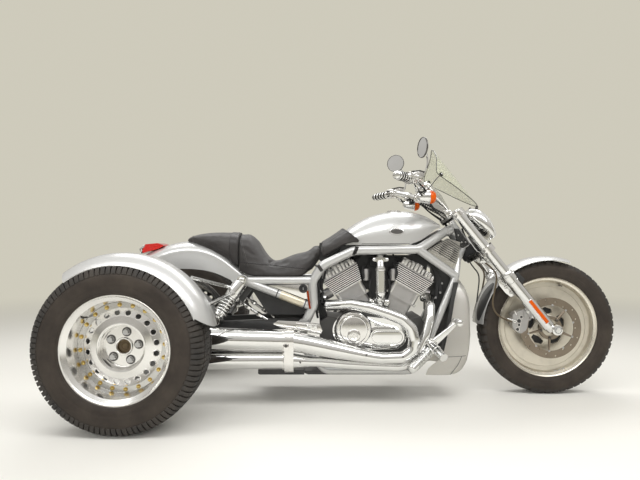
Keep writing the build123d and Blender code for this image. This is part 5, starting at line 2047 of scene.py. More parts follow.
@dataclass
class FrameTrim(SubAssembly):
    """Small parts on the frame: side cover locks, plugs, clips and looms."""

    body: Body = Body.CHASSIS
    louvres: tuple[tuple[float, float, float, float], ...] = (
        (357, 709, 471, 637), (366, 714, 474, 647), (375, 720, 476, 657), (384, 725, 479, 667),
        (393, 731, 481, 677), (402, 737, 482, 687), (411, 742, 484, 697), (421, 748, 486, 707),
        (430, 754, 488, 717)
    )

    def build(self) -> None:
        """Makes every piece."""
        locks, keys, covers = [], [], []
        for side in Side:
            s = int(side)
            lock = [
                (0.05, 9), (6, 9), (7, 6), (12, 6), (13.5, 10), (16.5, 11), (19.5, 9), (20.5, 4),
                (20.5, -12), (0.05, -12)
            ]
            locks.append(lathe(lock, mm(-254, s * 148, 520), 48, s))
            keys.append(box(mm(-254, s * 157, 520), (3.0, 3.0, 11), soft=0.6))
            plate = [(-404, 536), (-236, 540), (-222, 530), (-222, 484), (-232, 472), (-246, 470)]
            covers.append(slab(plate, *sorted((s * 146.4, s * 151.5)), soft=2.2))
        self.put(covers, "side_covers", Finishes.polished, sharp=30.0)
        self.put(locks, "side_cover_locks", Finishes.plastic, sharp=30.0)
        self.put(keys, "lock_slots", Finishes.steel)
        caps = [lathe([
            (0.05, 6), (12, 6), (17, 4.4), (19.8, 0), (19.8, -8), (0.05, -8)
        ], mm(466, -33, 799), 40, axis=(0.93, 0.23, 0.3))]
        collar = [(21.3, -5), (22.6, -4), (22.6, 4), (21.3, 5)]
        caps.append(lathe(collar, mm(444, -39, 790.5), 48, axis=(0.93, 0.23, 0.3)))
        self.put(caps, "rail_ends", Finishes.frame_silver, twin=True, sharp=30.0)
        bands = []
        way = Vector((-0.931, 0, 0.363))
        start = mm(-215, -150, 435)
        for at, width in ((34, 5), (172, 5)):
            bands.append(lathe([
                (19.3, -width / 2), (20.0, 0), (19.3, width / 2)
            ], start + way * at * MM, 48, axis=way))
        self.put(bands, "rail_joints", Finishes.black, twin=True, sharp=30.0)
        # a plain cream band round each top rail
        cream_band = lathe(
            [(19.2, -58), (19.8, -56), (19.8, 56), (19.2, 58)], start + way * 98 * MM, 48, axis=way
        )
        self.put([cream_band], "rail_cream_bands", Finishes.cream, twin=True, sharp=30.0)
        self.put([self.tie()], "bib_strap", Finishes.leather_trim, twin=True, sharp=50.0)
        self.loom()
        self.neck()

    @staticmethod
    def tie() -> Mesh:
        """The strap that ties the bib down over the frame's top rail."""
        rail = Surface(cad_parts["frame"])
        bm = bmesh.new()
        rows = []
        for i in range(13):
            row = []
            for shift in (-10, 10):
                at = mm(2 - 46 * i / 12 + shift, -400, 730 - 116 * i / 12 + shift * 0.35)
                spot = rail.hit(at, Vector((0, 1, 0)))
                at.y = min(-0.112, spot[0].y - 0.0026) if spot else -0.112
                row.append(bm.verts.new(at))
            rows.append(row)
        for low, high in zip(rows, rows[1:]):
            bm.faces.new((low[0], low[1], high[1], high[0]))
        bmesh.ops.solidify(bm, geom=list(bm.faces), thickness=2.2 * MM)
        bmesh.ops.recalc_face_normals(bm, faces=bm.faces)
        return bm

    def loom(self) -> None:
        """Clips and the loom that runs behind the seat post."""
        runs = [
            [
                (-176, -132, 612), (-186, -134, 580), (-180, -132, 540), (-186, -134, 500),
                (-178, -132, 460), (-196, -128, 420), (-186, -120, 380)
            ],
            [(-168, -128, 606), (-172, -130, 570), (-168, -130, 530), (-160, -128, 500), (-170, -128, 450)],
            [(-190, -140, 560), (-182, -142, 530), (-176, -138, 500)],
        ]
        tubes = [tube(placed(run), radius, sides=10) for run, radius in zip(runs, (6.0, 4.5, 4.0))]
        self.put(tubes, "post_loom", Finishes.hose, sharp=60.0)
        straps = [
            rod(mm(-196, -134, 628), mm(-166, -171, 606), 5.0, soft=1),
            box(mm(-176, -160, 616), (16, 34, 34), soft=3, turn=turned(-34))
        ]
        self.put(straps, "rail_strap", Finishes.leather_trim, sharp=40.0)
        rust = [box(mm(-228, -172, 470), (9, 5, 84), soft=1.5, turn=turned(-8))]
        self.put(rust, "post_reflector", Finishes.amber_dark)

    def neck(self) -> None:
        """The looms, horn and connectors in the space between the frame's head and the fork, on black plates
        that paint the shade there.
        """
        runs = [
            [(452, -30, 752), (486, -52, 716), (496, -60, 680), (486, -64, 640), (496, -60, 610)],
            [(446, -20, 740), (478, -40, 700), (478, -50, 650), (490, -56, 600), (480, -56, 570)],
        ]
        tubes = [tube(placed(run), 5.5, sides=10) for run in runs]
        self.put(tubes, "neck_looms", Finishes.hose, twin=True, sharp=60.0)
        bolts = [
            bolt(mm(x, -98.2, z), (0, -1, 0), 4.4, 3.2, round_head=True)
            for x, z in ((352, 700), (428, 748), (470, 700), (462, 620))
        ]
        self.put(bolts, "neck_bolts", Finishes.chrome, twin=True)
        # black plates each side of the frame's head: painted shade over the head tube; the lumps on them are
        # connectors
        cover = slab([(478, 806), (500, 804), (551, 728), (519, 708), (492, 740)], -47, -34, soft=3.0)
        lumps = [
            box(mm(x, -46, z), (size, 8, size * 1.4), soft=3, turn=turned(-38))
            for x, z, size in ((498, 776, 13), (517, 745, 17), (528, 724, 12))
        ]
        self.put([cover, *lumps], "neck_shade_and_connectors", Finishes.plastic, twin=True, sharp=40.0)
        lights = [
            rod(mm(x, -48, z), mm(x + 3, -51.5, z - 3), radius, soft=1)
            for x, z, radius in ((495, 773, 4.5), (511, 738, 5), (530, 740, 3.5))
        ]
        self.put(lights, "neck_fittings", Finishes.bright_cast, twin=True, sharp=40.0)
        slats = [rod(mm(x0, -98.6, z0), mm(x1, -98.6, z1), 1.7, sides=8) for x0, z0, x1, z1 in self.louvres]
        self.put(slats, "neck_louvres", Finishes.plastic, twin=True, sharp=60.0)


@dataclass
class Bodywork(SubAssembly):
    """Tank trim, the plain badge, tail lamp and fender edges."""

    body: Body = Body.CHASSIS
    fender_r: float = 314.6
    fender_half: float = 99.0

    def build(self) -> None:
        """Makes every piece."""
        self.tank()
        self.tail()
        self.fenders()
        self.shroud()

    def tank(self) -> None:
        """The filler door, the badge and the painted line on the tank cover."""
        surface = Surface(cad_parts["tank_cover"])
        badge, field_shape = [], []
        for side in Side:
            s = int(side)
            centre, normal = surface.hit(mm(182, s * 400, 786), Vector((0, -s, 0)))
            badge.append(self.oval(centre + normal * 0.0006, normal, 36, 17, 3.2))
            field_shape.append(self.oval(centre + normal * 0.0010, normal, 31, 12.5, 3.6))
        self.put(badge, "badge_rim", Finishes.chrome, sharp=30.0)
        self.put(field_shape, "badge_field", Finishes.dark_steel, sharp=30.0)
        door = lathe([
            (0.05, 5.4), (28, 4.8), (33, 3.0), (34, -4), (0.05, -4)
        ], surface.hit(mm(190, 0, 1200), Vector((0, 0, -1)))[0], 56, axis=(0.02, 0, 1))
        self.put([door], "filler_cap", Finishes.polished, sharp=30.0)
        lines = []
        for side in Side:
            s = int(side)
            line = []
            for x in range(20, 500, 16):
                low = 729.0 if x < 285 else 729.0 + (x - 285) * 0.54
                spot = surface.hit(mm(x, s * 400, low), Vector((0, -s, 0)))
                if spot is not None:
                    line.append(spot[0] + spot[1] * 0.0004)
            lines.append(tube(line, 1.4, sides=8, smooth=4))
        self.put(lines, "tank_pinstripe", Finishes.black, sharp=60.0)

    @staticmethod
    def oval(centre: Vector, normal: Vector, half_x: float, half_z: float, thick: float) -> Mesh:
        """A domed oval plate on a surface.

        Args:
            centre: Its middle.
            normal: The surface's normal there.
            half_x: Its half length, in millimetres.
            half_z: Its half height, in millimetres.
            thick: Its thickness, in millimetres.

        Returns:
            Its mesh.
        """
        bm = bmesh.new()
        bmesh.ops.create_cone(bm, cap_ends=True, segments=56, radius1=1.0, radius2=0.92, depth=1.0)
        top = [f for f in bm.faces if len(f.verts) > 4 and f.normal.z > 0.5]
        soften(bm, top[0].edges, 0.12 / MM, 3)
        bmesh.ops.scale(bm, vec=mm(half_x, half_z, thick), verts=bm.verts)
        z_axis = normal
        x_axis = (Vector((1, 0, 0)) - z_axis * z_axis.x).normalized()
        turn = Matrix((x_axis, z_axis.cross(x_axis), z_axis)).transposed().to_4x4()
        bmesh.ops.transform(bm, matrix=Matrix.Translation(centre) @ turn, verts=bm.verts)
        return bm

    def tail(self) -> None:
        """The tail lamp's bezel."""
        bezel = slab([
            (-1046, 682), (-1050, 706), (-1028, 726), (-1020, 722), (-1036, 704), (-1034, 686)
        ], -64, 64, soft=2.0)
        self.put([bezel], "tail_bezel", Finishes.chrome, sharp=30.0)

    def fenders(self) -> None:
        """The rolled edges of the back fenders."""
        for side in Side:
            s = int(side)
            edges = []
            for y in (REAR_Y / MM * s - self.fender_half, REAR_Y / MM * s + self.fender_half):
                line = []
                for i in range(41):
                    a = math.radians(12.5 + 114.0 * i / 40)
                    x = REAR_X / MM + self.fender_r * math.cos(a)
                    z = AXLE_HEIGHT / MM + self.fender_r * math.sin(a)
                    if (x + 560) * 105 + (z - 391) * 160 > -1500:  # behind the slanted front end
                        line.append(mm(x, y, z))
                edges.append(tube(line, 2.6, sides=8, smooth=2))
            self.put(edges, f"fender_edges_{side.label}", Finishes.silver, sharp=60.0)

    @staticmethod
    def cowl() -> Mesh:
        """The bowed sheet of the radiator's cowl, open at its mouth."""
        front = (
            (118, 436), (124, 462), (136, 484), (160, 502), (190, 514), (240, 524), (300, 532), (420, 533),
            (470, 529), (500, 522), (530, 511), (556, 496)
        )
        back = ((118, 314), (160, 330), (185, 372), (205, 392), (330, 424), (470, 446), (556, 464))
        half = (
            (118, 156), (150, 164), (200, 168), (240, 167), (300, 161), (360, 152), (420, 140), (480, 123),
            (520, 104), (556, 80)
        )
        bm = bmesh.new()
        rows = []
        for z in (
            118, 124, 134, 150, 170, 190, 215, 240, 270, 300, 330, 360, 390, 420, 450, 475, 500, 515, 530,
            545, 556
        ):
            f, b, w = read(front, z), read(back, z), read(half, z)
            right = [
                (b, w - 3), (b * 0.5 + f * 0.5 - 14, w), (f - 34, w - 1), (f - 19, w - 3), (f - 8, w - 7.5),
                (f, min(112.0, w - 14)), (f + 1, 56 if w > 90 else 40), (f + 2, 0)
            ]
            rows.append(
                [bm.verts.new(mm(x, -y, z)) for x, y in right] + [
                    bm.verts.new(mm(x, y, z))
                    for x, y in reversed(right[:-1])
                ]
            )
        for low, high in zip(rows, rows[1:]):
            for i in range(14):
                open_mouth = 5 <= i <= 8 and 0.19 - 1e-6 <= low[0].co.z < 0.4999
                if not open_mouth:
                    bm.faces.new((low[i], low[i + 1], high[i + 1], high[i]))
        bmesh.ops.solidify(bm, geom=list(bm.faces), thickness=4.0 * MM)
        return bm

    def shroud(self) -> None:
        """The cowl, its seams and the fins of the radiator."""
        self.put([self.cowl()], "radiator_cowl", Finishes.cowl_silver, "radiator_shroud", sharp=60.0)
        lower = ((394, -167, 204), (440, -168.4, 206), (478, -167.6, 208), (500, -164.5, 210))
        corner = ((480, -167.4, 208), (468, -167, 176), (448, -163, 146), (430, -158.5, 122))
        seams = [tube(placed(path), 1.1, sides=8) for path in (lower, corner)]
        self.put(seams, "cowl_seams", Finishes.dark_steel, twin=True, sharp=60.0)
        lining = slab([
            (452, 548), (470, 548), (452, 470), (430, 330), (400, 214), (384, 200), (376, 210), (412, 330),
            (436, 470)
        ], -150, -96)
        self.put([lining], "cowl_lining", Finishes.plastic, twin=True, sharp=40.0)
        fins = [box(mm(457 - 0.086 * (500 - z), 0, z), (3.0, 216, 1.6)) for z in range(200, 500, 7)]
        cores = [box(mm(446.6, y, 346), (3, 1.4, 300), turn=turned(4.9)) for y in range(-104, 105, 16)]
        self.put([*fins, *cores], "radiator_fins", Finishes.steel)


class Surface:
    """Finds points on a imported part's surface."""

    def __init__(self, part: bpy.types.Object) -> None:
        """Reads the part's mesh.

        Args:
            part: The part's object.
        """
        bm = opened(part.data)
        self.tree = BVHTree.FromBMesh(bm)
        bm.free()

    def hit(self, start: Vector, way: Vector) -> tuple[Vector, Vector] | None:
        """Follows a ray to the surface.

        Args:
            start: Where the ray starts.
            way: The way it goes.

        Returns:
            The point and the surface's normal there, or None.
        """
        spot, normal, _, _ = self.tree.ray_cast(start, way)
        if spot is None:
            return None
        return spot, (normal if normal.dot(way) < 0 else -normal)


# ---------------------------------------------------------------- fork, lamp, bars and screen
@dataclass
class Fork(SubAssembly):
    """Seals, bolts, reflectors, caliper details, fender trim and painted fender shade on the fork."""

    body: Body = Body.FORK
    top: tuple[float, float] = (475.0, 871.0)
    angle: float = 38.8
    half: float = 120.0
    rim_r: float = 326.2

    def leg(self, along: float, ahead: float = 0.0, y: float = 0.0) -> Vector:
        """A point by its distance down the legs, its distance ahead of them and its Y, all in millimetres."""
        c, s = math.cos(math.radians(self.angle)), math.sin(math.radians(self.angle))
        return mm(self.top[0] + along * s + ahead * c, y, self.top[1] - along * c + ahead * s)

    def build(self) -> None:
        """Makes every piece."""
        way = (self.leg(1) - self.leg(0)).normalized()
        seals, rings, bolts = [], [], []
        for y in (-self.half, self.half):
            out = math.copysign(1.0, y)
            seals.append(lathe([
                (24.7, -14), (26.5, -14), (31.0, -8), (32.6, -4), (32.6, 0), (24.7, 0)
            ], self.leg(368, 0, y), 56, axis=way))
            rings.append(
                lathe([(33.2, 4), (34.6, 5), (34.6, 9), (33.2, 10)], self.leg(368, 0, y), 56, axis=way)
            )
            rings.append(
                lathe([(29.2, -3), (30.6, -2), (30.6, 2), (29.2, 3)], self.leg(412, 0, y), 56, axis=way)
            )
            rings.append(lathe([
                (0.05, -20), (10, -20), (13, -18), (17, -18), (20, -15), (22.6, -11), (22.6, -6), (0.05, -6)
            ], self.leg(-1, 0, y), 48, axis=way))
            for along, radius in ((0.0, 33.0), (218.0, 35.0)):
                for offset in (-9, 9) if along else (0,):
                    bolts.append(bolt(
                        self.leg(along + offset, -22, y + out * radius * 0.76), (0, out, 0), 6.4, 7.0,
                        washer=8.6, round_head=True
                    ))
            bolts.append(lathe([
                (0.05, 9), (11, 9), (13.5, 7), (13.5, 0), (0.05, 0)
            ], mm(FRONT_X / MM, y + out * 30.5, 325), 6, out))
            bolts.append(lathe([
                (0.05, 7.5), (17, 7.5), (24, 5.0), (25.4, 0), (0.05, 0)
            ], mm(FRONT_X / MM, y + out * 22.2, 325), 48, out))
        self.put(seals, "fork_seals", Finishes.fork_alloy, sharp=30.0)
        self.put(rings, "fork_rings", Finishes.chrome, sharp=30.0)
        self.put(bolts, "fork_bolts", Finishes.chrome)
        for side in Side:
            self.reflector(side)
            self.caliper(side)
            self.leaf(side)
            self.bracket(side)
        self.cables()

    def reflector(self, side: Side) -> None:
        """The long amber reflector in its frame on the outside of the slider."""
        s = int(side)
        y = s * (self.half + 27.5)
        low, high = self.leg(523, 0, y), self.leg(655, 0, y)
        turn = turned(90 - self.angle)
        middle = low.lerp(high, 0.5)
        length = (high - low).length / MM
        base = box(middle, (length + 6, 7, 21), soft=2.6, turn=turn, segments=3)
        face = box(middle + Vector((0, s * 0.0042, 0)), (length, 3.6, 16), soft=1.5, turn=turn, segments=3)
        self.put([base], f"reflector_frame_{side.label}", Finishes.chrome, sharp=40.0)
        self.put([face], f"reflector_{side.label}", Finishes.amber, sharp=40.0)

    def caliper(self, side: Side) -> None:
        """Piston caps, bolts and the hose fitting on one caliper."""
        s = int(side)
        way = (0, s, 0)
        caps, wells, bolts = [], [], []
        for x, z, radius in ((784, 381, 6.0), (773, 362, 9.5), (773, 343, 6.0), (766, 322, 7.5)):
            seat = mm(x, s * 95.6, z)
            wells.append(lathe([
                (0.05, 0.9), (radius * 0.8, 0.9), (radius, 0.3), (radius, -3), (0.05, -3)
            ], seat, 28, s))
            caps.append(lathe([
                (radius, 0), (radius + 0.6, 1.8), (radius + 2.4, 1.8), (radius + 3.2, 0),
                (radius + 3.2, -2), (radius, -2)
            ], seat, 32, s))
        for x, z in ((812, 408), (838, 384), (832, 416)):
            bolts.append(bolt(mm(x, s * 107, z), way, 7.0, 6.0, washer=9.0))
        bolts += [
            rod(mm(752, s * 94, 362), mm(718, s * 91, 374), 5.4, 3.0, soft=0.8),
            rod(mm(762, s * 95, 392), mm(752, s * 95, 412), 5.0, 3.4, soft=0.8)
        ]
        bolts.append(lathe([(3, -4), (8, -4), (8.6, 0), (8, 4), (3, 4)], mm(752, s * 96, 360), 28, s))
        self.put(caps, f"caliper_caps_{side.label}", Finishes.polished, sharp=30.0)
        self.put(wells, f"caliper_wells_{side.label}", Finishes.black, sharp=30.0)
        self.put(bolts, f"caliper_bolts_{side.label}", Finishes.chrome)

    def leaf(self, side: Side) -> None:
        """Painted shade and dark reflection: a dark leaf-shaped sheet on one side of the fender's rear flap.
        """
        s = int(side)
        steps = 26
        start, end = 141.0, 174.5
        bm = bmesh.new()
        arc = [(346.2, 10), (345.6, 22), (344.2, 36), (341.6, 49), (337.0, 61), (331.2, 71), (328.6, 75.2)]
        verts = [bm.verts.new((radius * MM, y * s * MM, 0)) for radius, y in arc]
        edges = [bm.edges.new(pair) for pair in zip(verts, verts[1:])]
        bmesh.ops.spin(
            bm, geom=[*verts, *edges], cent=ORIGIN, axis=(0, -1, 0), angle=math.radians(end - start),
            steps=steps
        )
        bmesh.ops.remove_doubles(bm, verts=bm.verts, dist=1e-6)
        middle = 48.0 * s * MM
        for vert in bm.verts:
            share = math.degrees(math.atan2(vert.co.z, vert.co.x)) / (end - start)
            width = max(0.06, math.sin(math.pi * min(1.0, max(0.0, share * 0.96 + 0.02)))) ** 0.55
            y = middle + (vert.co.y - middle) * width
            radius = self.skin(abs(y) / MM) + 1.1
            angle = math.atan2(vert.co.z, vert.co.x)
            vert.co = Vector((radius * math.cos(angle) * MM, y, radius * math.sin(angle) * MM))
        bmesh.ops.rotate(
            bm, verts=bm.verts, cent=ORIGIN, matrix=Matrix.Rotation(math.radians(-start), 3, "Y")
        )
        bmesh.ops.translate(bm, verts=bm.verts, vec=(FRONT_X, 0, AXLE_HEIGHT))
        bmesh.ops.recalc_face_normals(bm, faces=bm.faces)
        centre = Vector((FRONT_X, 0, AXLE_HEIGHT))
        if sum(face.normal.dot(face.calc_center_median() - centre) for face in bm.faces) < 0:
            bmesh.ops.reverse_faces(bm, faces=bm.faces)
        bmesh.ops.solidify(bm, geom=list(bm.faces), thickness=1.0 * MM)
        # the leaf is painted shade and dark reflection, a dark sheet laid on the silver flap
        self.put([bm], f"fender_leaf_{side.label}", Finishes.fender_shade_charcoal, sharp=50.0)

    @staticmethod
    def skin(y: float) -> float:
        """The fender skin's radius at a distance from its middle, in millimetres."""
        return read([(0, 346.0), (20, 345.2), (42, 342.0), (60, 336.8), (76, 328.0), (90, 318.0)], y)

    def bracket(self, side: Side) -> None:
        """The chrome fender bracket behind one slider, and the fender's rolled edge."""
        s = int(side)
        label = side.label
        plate = slab([
            (670, 566), (692, 580), (728, 572), (776, 520), (764, 486), (738, 474), (712, 494), (684, 528)
        ], *sorted((s * 82, s * 87)), soft=1.8)
        bolts = [
            bolt(mm(x, s * 87, z), (0, s, 0), 7.0, 6.0, washer=10.0, round_head=True)
            for x, z in ((690, 558), (714, 524), (738, 498))
        ]
        bolts.append(rod(mm(708, s * 87, 548), mm(744, s * 89, 508), 8.0, soft=1.5))
        self.put([plate, *bolts], f"fender_bracket_{label}", Finishes.chrome, sharp=36.0)
        cover = slab([(733, 556), (776, 517), (803, 560), (770, 593)], *sorted((s * 74, s * 94.5)), soft=1.0)
        self.put([cover], f"lug_cover_{label}", Finishes.plastic, sharp=36.0)
        wheel = mm(FRONT_X / MM, s * 75.5, AXLE_HEIGHT / MM)
        angles = [math.radians(73.5 + 103 * i / 52) for i in range(53)]
        rim = [wheel + Vector((math.cos(a), 0, math.sin(a))) * self.rim_r * MM for a in angles]
        self.put([tube(rim, 2.2, sides=8, smooth=2)], f"fender_edge_{label}", Finishes.silver, sharp=60.0)

    def cables(self) -> None:
        """The loom between the clamps, the hanging cable, the ignition block and the hose junction."""
        runs = [
            ([(572, -24, 764), (598, -50, 716), (612, -66, 676), (606, -76, 640)], 5.0),
            ([(536, -26, 809), (568, -60, 746), (588, -78, 690), (598, -80, 650)], 4.0),
            ([(536, 26, 808), (562, 52, 754), (600, 60, 700), (600, 64, 650)], 5.0),
        ]
        tubes = [tube(placed(run), radius, sides=10) for run, radius in runs]
        tubes.append(tube([
            mm(540, -70, 652), mm(557, -84, 619), mm(582, -84, 592), mm(588, -84, 560), mm(582, -84, 505),
            mm(575, -84, 451)
        ], 3.2, sides=10))
        stem = [(34, 164), (37.4, 166), (37.4, 222), (34, 226), (0.05, 227), (0.05, 188)]
        tubes.append(lathe(stem, mm(447.7, 0, 849.1), 48, axis=(0.559, 0, -0.829)))
        self.put(tubes, "fork_looms", Finishes.hose, sharp=60.0)
        path = [
            (612, -70, 646), (652, -84, 612), (672, -90, 576), (660, -91, 509), (648, -92, 461),
            (651, -92, 422), (672, -92, 389), (710, -92, 367), (740, -92, 358)
        ]
        self.put(
            [tube(placed(path), 4.2, sides=12)], "brake_lines", Finishes.brown_hose, "brake_hoses",
            twin=True, sharp=60.0
        )
        block = [
            box(mm(610, -60, 650), (34, 46, 22), soft=3),
            rod(self.leg(228, -30, 0), self.leg(256, -34, 0), 17, 14, soft=2),
            box(mm(648, 0, 640), (20, 150, 16), soft=4)
        ]
        self.put(block, "hose_junction", Finishes.chrome, sharp=40.0)
        lock = [
            lathe([
                (0.05, 5), (3, 5), (4, 8), (11, 8), (13, 5), (13, -14), (0.05, -14)
            ], mm(434, -70, 884), 40, axis=(-0.64, 0, 0.768)),
            box(mm(440, -70, 876), (32, 34, 22), soft=4, turn=turned(-40))
        ]
        self.put(lock, "ignition_lock", Finishes.polished, sharp=36.0)
        lamp = slab([(563, 768), (576, 771), (622, 702), (612, 693)], -30, 30, soft=4.0)
        self.put([lamp], "lamp_bracket", Finishes.black, sharp=40.0)


@dataclass
class Cockpit(SubAssembly):
    """The instrument pod, grips, switch housings, mirrors, indicators and cables."""

    body: Body = Body.FORK
    bar_end: tuple[float, float, float] = (143.0, -415.0, 1008.0)
    bar_bend: tuple[float, float, float] = (240.0, -262.0, 1014.0)

    def hand(self, distance: float, ahead: float = 0.0, up: float = 0.0) -> Vector:
        """A point at the bar's right end, by its distances inboard of the end, ahead and up."""
        end, bend = mm(*self.bar_end), mm(*self.bar_bend)
        inward = (bend - end).normalized()
        forward = Vector((inward.y, -inward.x, 0)).normalized()
        return end + inward * distance * MM + forward * ahead * MM + Vector((0, 0, up)) * MM

    def build(self) -> None:
        """Makes every piece."""
        self.pod()
        self.grips()
        self.housings()
        self.mirrors()
        self.indicators()
        self.cables()

    def pod(self) -> None:
        """The polished instrument pod with its dials, and the ribbed rubber under it."""
        rows = [
            ((462, 883), 30, 9), ((436, 908), 46, 17), ((398, 946), 64, 30), ((352, 990), 72, 35),
            ((330, 1011), 72, 33)
        ]
        lean = Vector((-0.64, 0, 0.768))
        up = Vector((0.768, 0, 0.64))
        bm = bmesh.new()
        loops = []
        for (x, z), half, thick in rows:
            ring = bmesh.ops.create_circle(bm, cap_ends=False, segments=44, radius=1.0)["verts"]
            for vert in ring:
                side, rise = vert.co.x, vert.co.y
                peak = thick * (1.15 if rise > 0 else 0.72)
                vert.co = mm(x, 0, z) + Vector((0, side * half, 0)) * MM + up * rise * peak * MM
            loops.append(
                list(dict.fromkeys(e for v in ring for e in v.link_edges if e.other_vert(v) in ring))
            )
        for a, b in zip(loops, loops[1:]):
            bmesh.ops.bridge_loops(bm, edges=a + b)
        bmesh.ops.holes_fill(bm, edges=list(bm.edges), sides=60)
        caps = [f for f in bm.faces if len(f.verts) > 10]
        bmesh.ops.recalc_face_normals(bm, faces=bm.faces)
        soften(bm, (e for f in caps for e in f.edges), 5.0, 3)
        self.put([bm], "instrument_pod", Finishes.polished, "gauge_pod", sharp=50.0)
        dials, faces, glass, marks = [], [], [], []
        for y, radius, at in ((-30, 29, (327, 1013)), (34, 25, (327, 1013))):
            seat = mm(at[0], y, at[1])
            dials.append(lathe([
                (radius, -4), (radius, 4.5), (radius + 2.2, 6), (radius + 4.4, 4), (radius + 4.6, -4)
            ], seat, 56, axis=lean))
            faces.append(lathe([(0.05, 3), (radius, 3), (radius, -2), (0.05, -2)], seat, 56, axis=lean))
            side_way = Vector((0, 1, 0))
            for i in range(11):
                a = math.radians(-130 + 26 * i)
                spoke = (side_way * math.sin(a) + up * math.cos(a)).normalized()
                ends = [seat + lean * 0.0036 + spoke * (radius - gap) * MM for gap in (7, 3)]
                marks.append(rod(*ends, 0.7, sides=6))
            needle = (side_way * math.sin(-2.2) + up * math.cos(-2.2)).normalized()
            marks.append(rod(
                seat + lean * 0.0042 - needle * 0.004, seat + lean * 0.0042 + needle * (radius - 9) * MM,
                1.0, 0.4, sides=8
            ))
            glass.append(lathe([
                (0.05, 6.2), (radius * 0.6, 6.0), (radius, 4.6), (radius, 4.0), (0.05, 4.0)
            ], seat, 56, axis=lean))
        self.put(dials, "dial_bezels", Finishes.chrome, sharp=30.0)
        self.put(faces, "dial_faces", Finishes.dial, sharp=30.0)
        self.put(marks, "dial_marks", Finishes.thread)
        self.put(glass, "dial_glass", Finishes.lens, sharp=60.0)
        ribs = []
        start, end = Vector((446, 0, 868)), Vector((330, 0, 930))
        turn = turned(28)
        for y in (-40, 40):
            ribs += [
                box(start.lerp(end, i / 11) * MM + mm(0, y, 0), (7, 9, 9), soft=1.8, turn=turn)
                for i in range(12)
            ]
            ribs.append(box(start.lerp(end, 0.5) * MM + mm(0, y, 0), (132, 7, 5), soft=1.5, turn=turn))
        self.put(ribs, "riser_ribs", Finishes.hose, sharp=40.0)
        clamps = []
        for y in (-56, 56):
            clamps.append(lathe([
                (13, -16), (24, -16), (26, -12), (26, 12), (24, 16), (13, 16)
            ], mm(324, y, 966), 40, 1))
            for dz in (-8, 8):
                clamps.append(bolt(mm(318, y + dz, 990), (-0.5, 0, 0.86), 4.6, 5, round_head=True))
        self.put(clamps, "bar_clamps", Finishes.polished, sharp=36.0)

    def grips(self) -> None:
        """Chrome beads and rubber rings over each grip, with a round end cap."""
        inward = (self.hand(1) - self.hand(0)).normalized()
        cap = [(0.05, -13.5), (11, -13), (15.4, -10.5), (17.4, -6), (17.4, -3), (13, -2), (13, 2), (0.05, 2)]
        beads = [lathe(cap, self.hand(0), 44, axis=inward)]
        rubber = [lathe([(12.8, 0), (16.2, 0), (16.2, 116), (12.8, 116)], self.hand(0), 40, axis=inward)]
        for i in range(5):
            at = self.hand(12 + 23.5 * i)
            beads.append(lathe([
                (16.2, -7), (17.8, -6), (19.0, -3), (19.2, 0), (19.0, 3), (17.8, 6), (16.2, 7)
            ], at, 44, axis=inward))
            if i < 4:
                at = self.hand(23.7 + 23.5 * i)
                rubber.append(lathe([
                    (16.0, -3.6), (19.4, -3.2), (20.4, 0), (19.4, 3.2), (16.0, 3.6)
                ], at, 44, axis=inward))
        self.put(rubber, "grip_rubber", Finishes.grip, "grips", twin=True, sharp=40.0)
        self.put(beads, "grip_beads", Finishes.chrome, twin=True, sharp=40.0)

    def housings(self) -> None:
        """The split switch housing, its buttons, the master cylinder, its reservoir and the lever."""
        inward = (self.hand(1) - self.hand(0)).normalized()
        forward = (self.hand(0, 1) - self.hand(0)).normalized()
        up = inward.cross(forward)
        up = up if up.z > 0 else -up
        turn = Matrix((inward, forward, inward.cross(forward))).transposed().to_4x4()
        metal = [
            box(self.hand(146), (44, 52, 26), soft=7, turn=turn, segments=4),
            box(self.hand(146, 0, 12), (40, 46, 24), soft=7, turn=turn, segments=4),
            box(self.hand(146, 0, -12), (40, 46, 24), soft=7, turn=turn, segments=4),
            lathe([
                (13, -4), (26, -4), (27.4, -1), (27.4, 3), (25, 6), (13, 6)
            ], self.hand(122), 48, axis=inward),
            lathe([(13, -3), (22, -3), (23, 0), (22, 3), (13, 3)], self.hand(131), 48, axis=inward),
            box(self.hand(178, 12, 2), (30, 46, 30), soft=5, turn=turn, segments=3),
            box(self.hand(152, 34, 0), (60, 24, 22), soft=6, turn=turn, segments=3),
            bolt(self.hand(184, 36, 12), (0, 0, 1), 6.5, 5.0, round_head=True),
            bolt(self.hand(178, -12, 2), -forward, 5.0, 4.0, round_head=True),
        ]
        lever = [
            self.hand(176, 40, 0), self.hand(140, 50, -2), self.hand(90, 52, -3), self.hand(48, 48, -4),
            self.hand(12, 51, -4)
        ]
        metal += [tube(lever, 5.4, sides=14), ball(self.hand(10, 51, -4), (9, 9, 9))]
        self.put(metal, "switch_housings", Finishes.polished, "hand_controls", twin=True, sharp=36.0)
        buttons = []
        for distance, ahead, rise in (
            (138, -25, 12), (152, -25, 12), (138, -25, -2), (153, -25, -3), (145, -25, -15)
        ):
            buttons.append(box(self.hand(distance, ahead, rise), (9, 7, 8), soft=2, turn=turn))
        buttons.append(box(self.hand(146, 0, 0.5), (45, 53.4, 1.4), turn=turn))
        self.put(buttons, "switch_buttons", Finishes.plastic, twin=True, sharp=40.0)
        lid = [box(self.hand(170, 26, 30), (62, 42, 5), soft=1.8, turn=turn)]
        cup = [box(self.hand(170, 26, 16), (56, 37, 25), soft=4, turn=turn)]
        self.put(lid, "reservoir_lids", Finishes.black, twin=True, sharp=40.0)
        self.put(cup, "reservoirs", Finishes.bright_cast, twin=True, sharp=40.0)

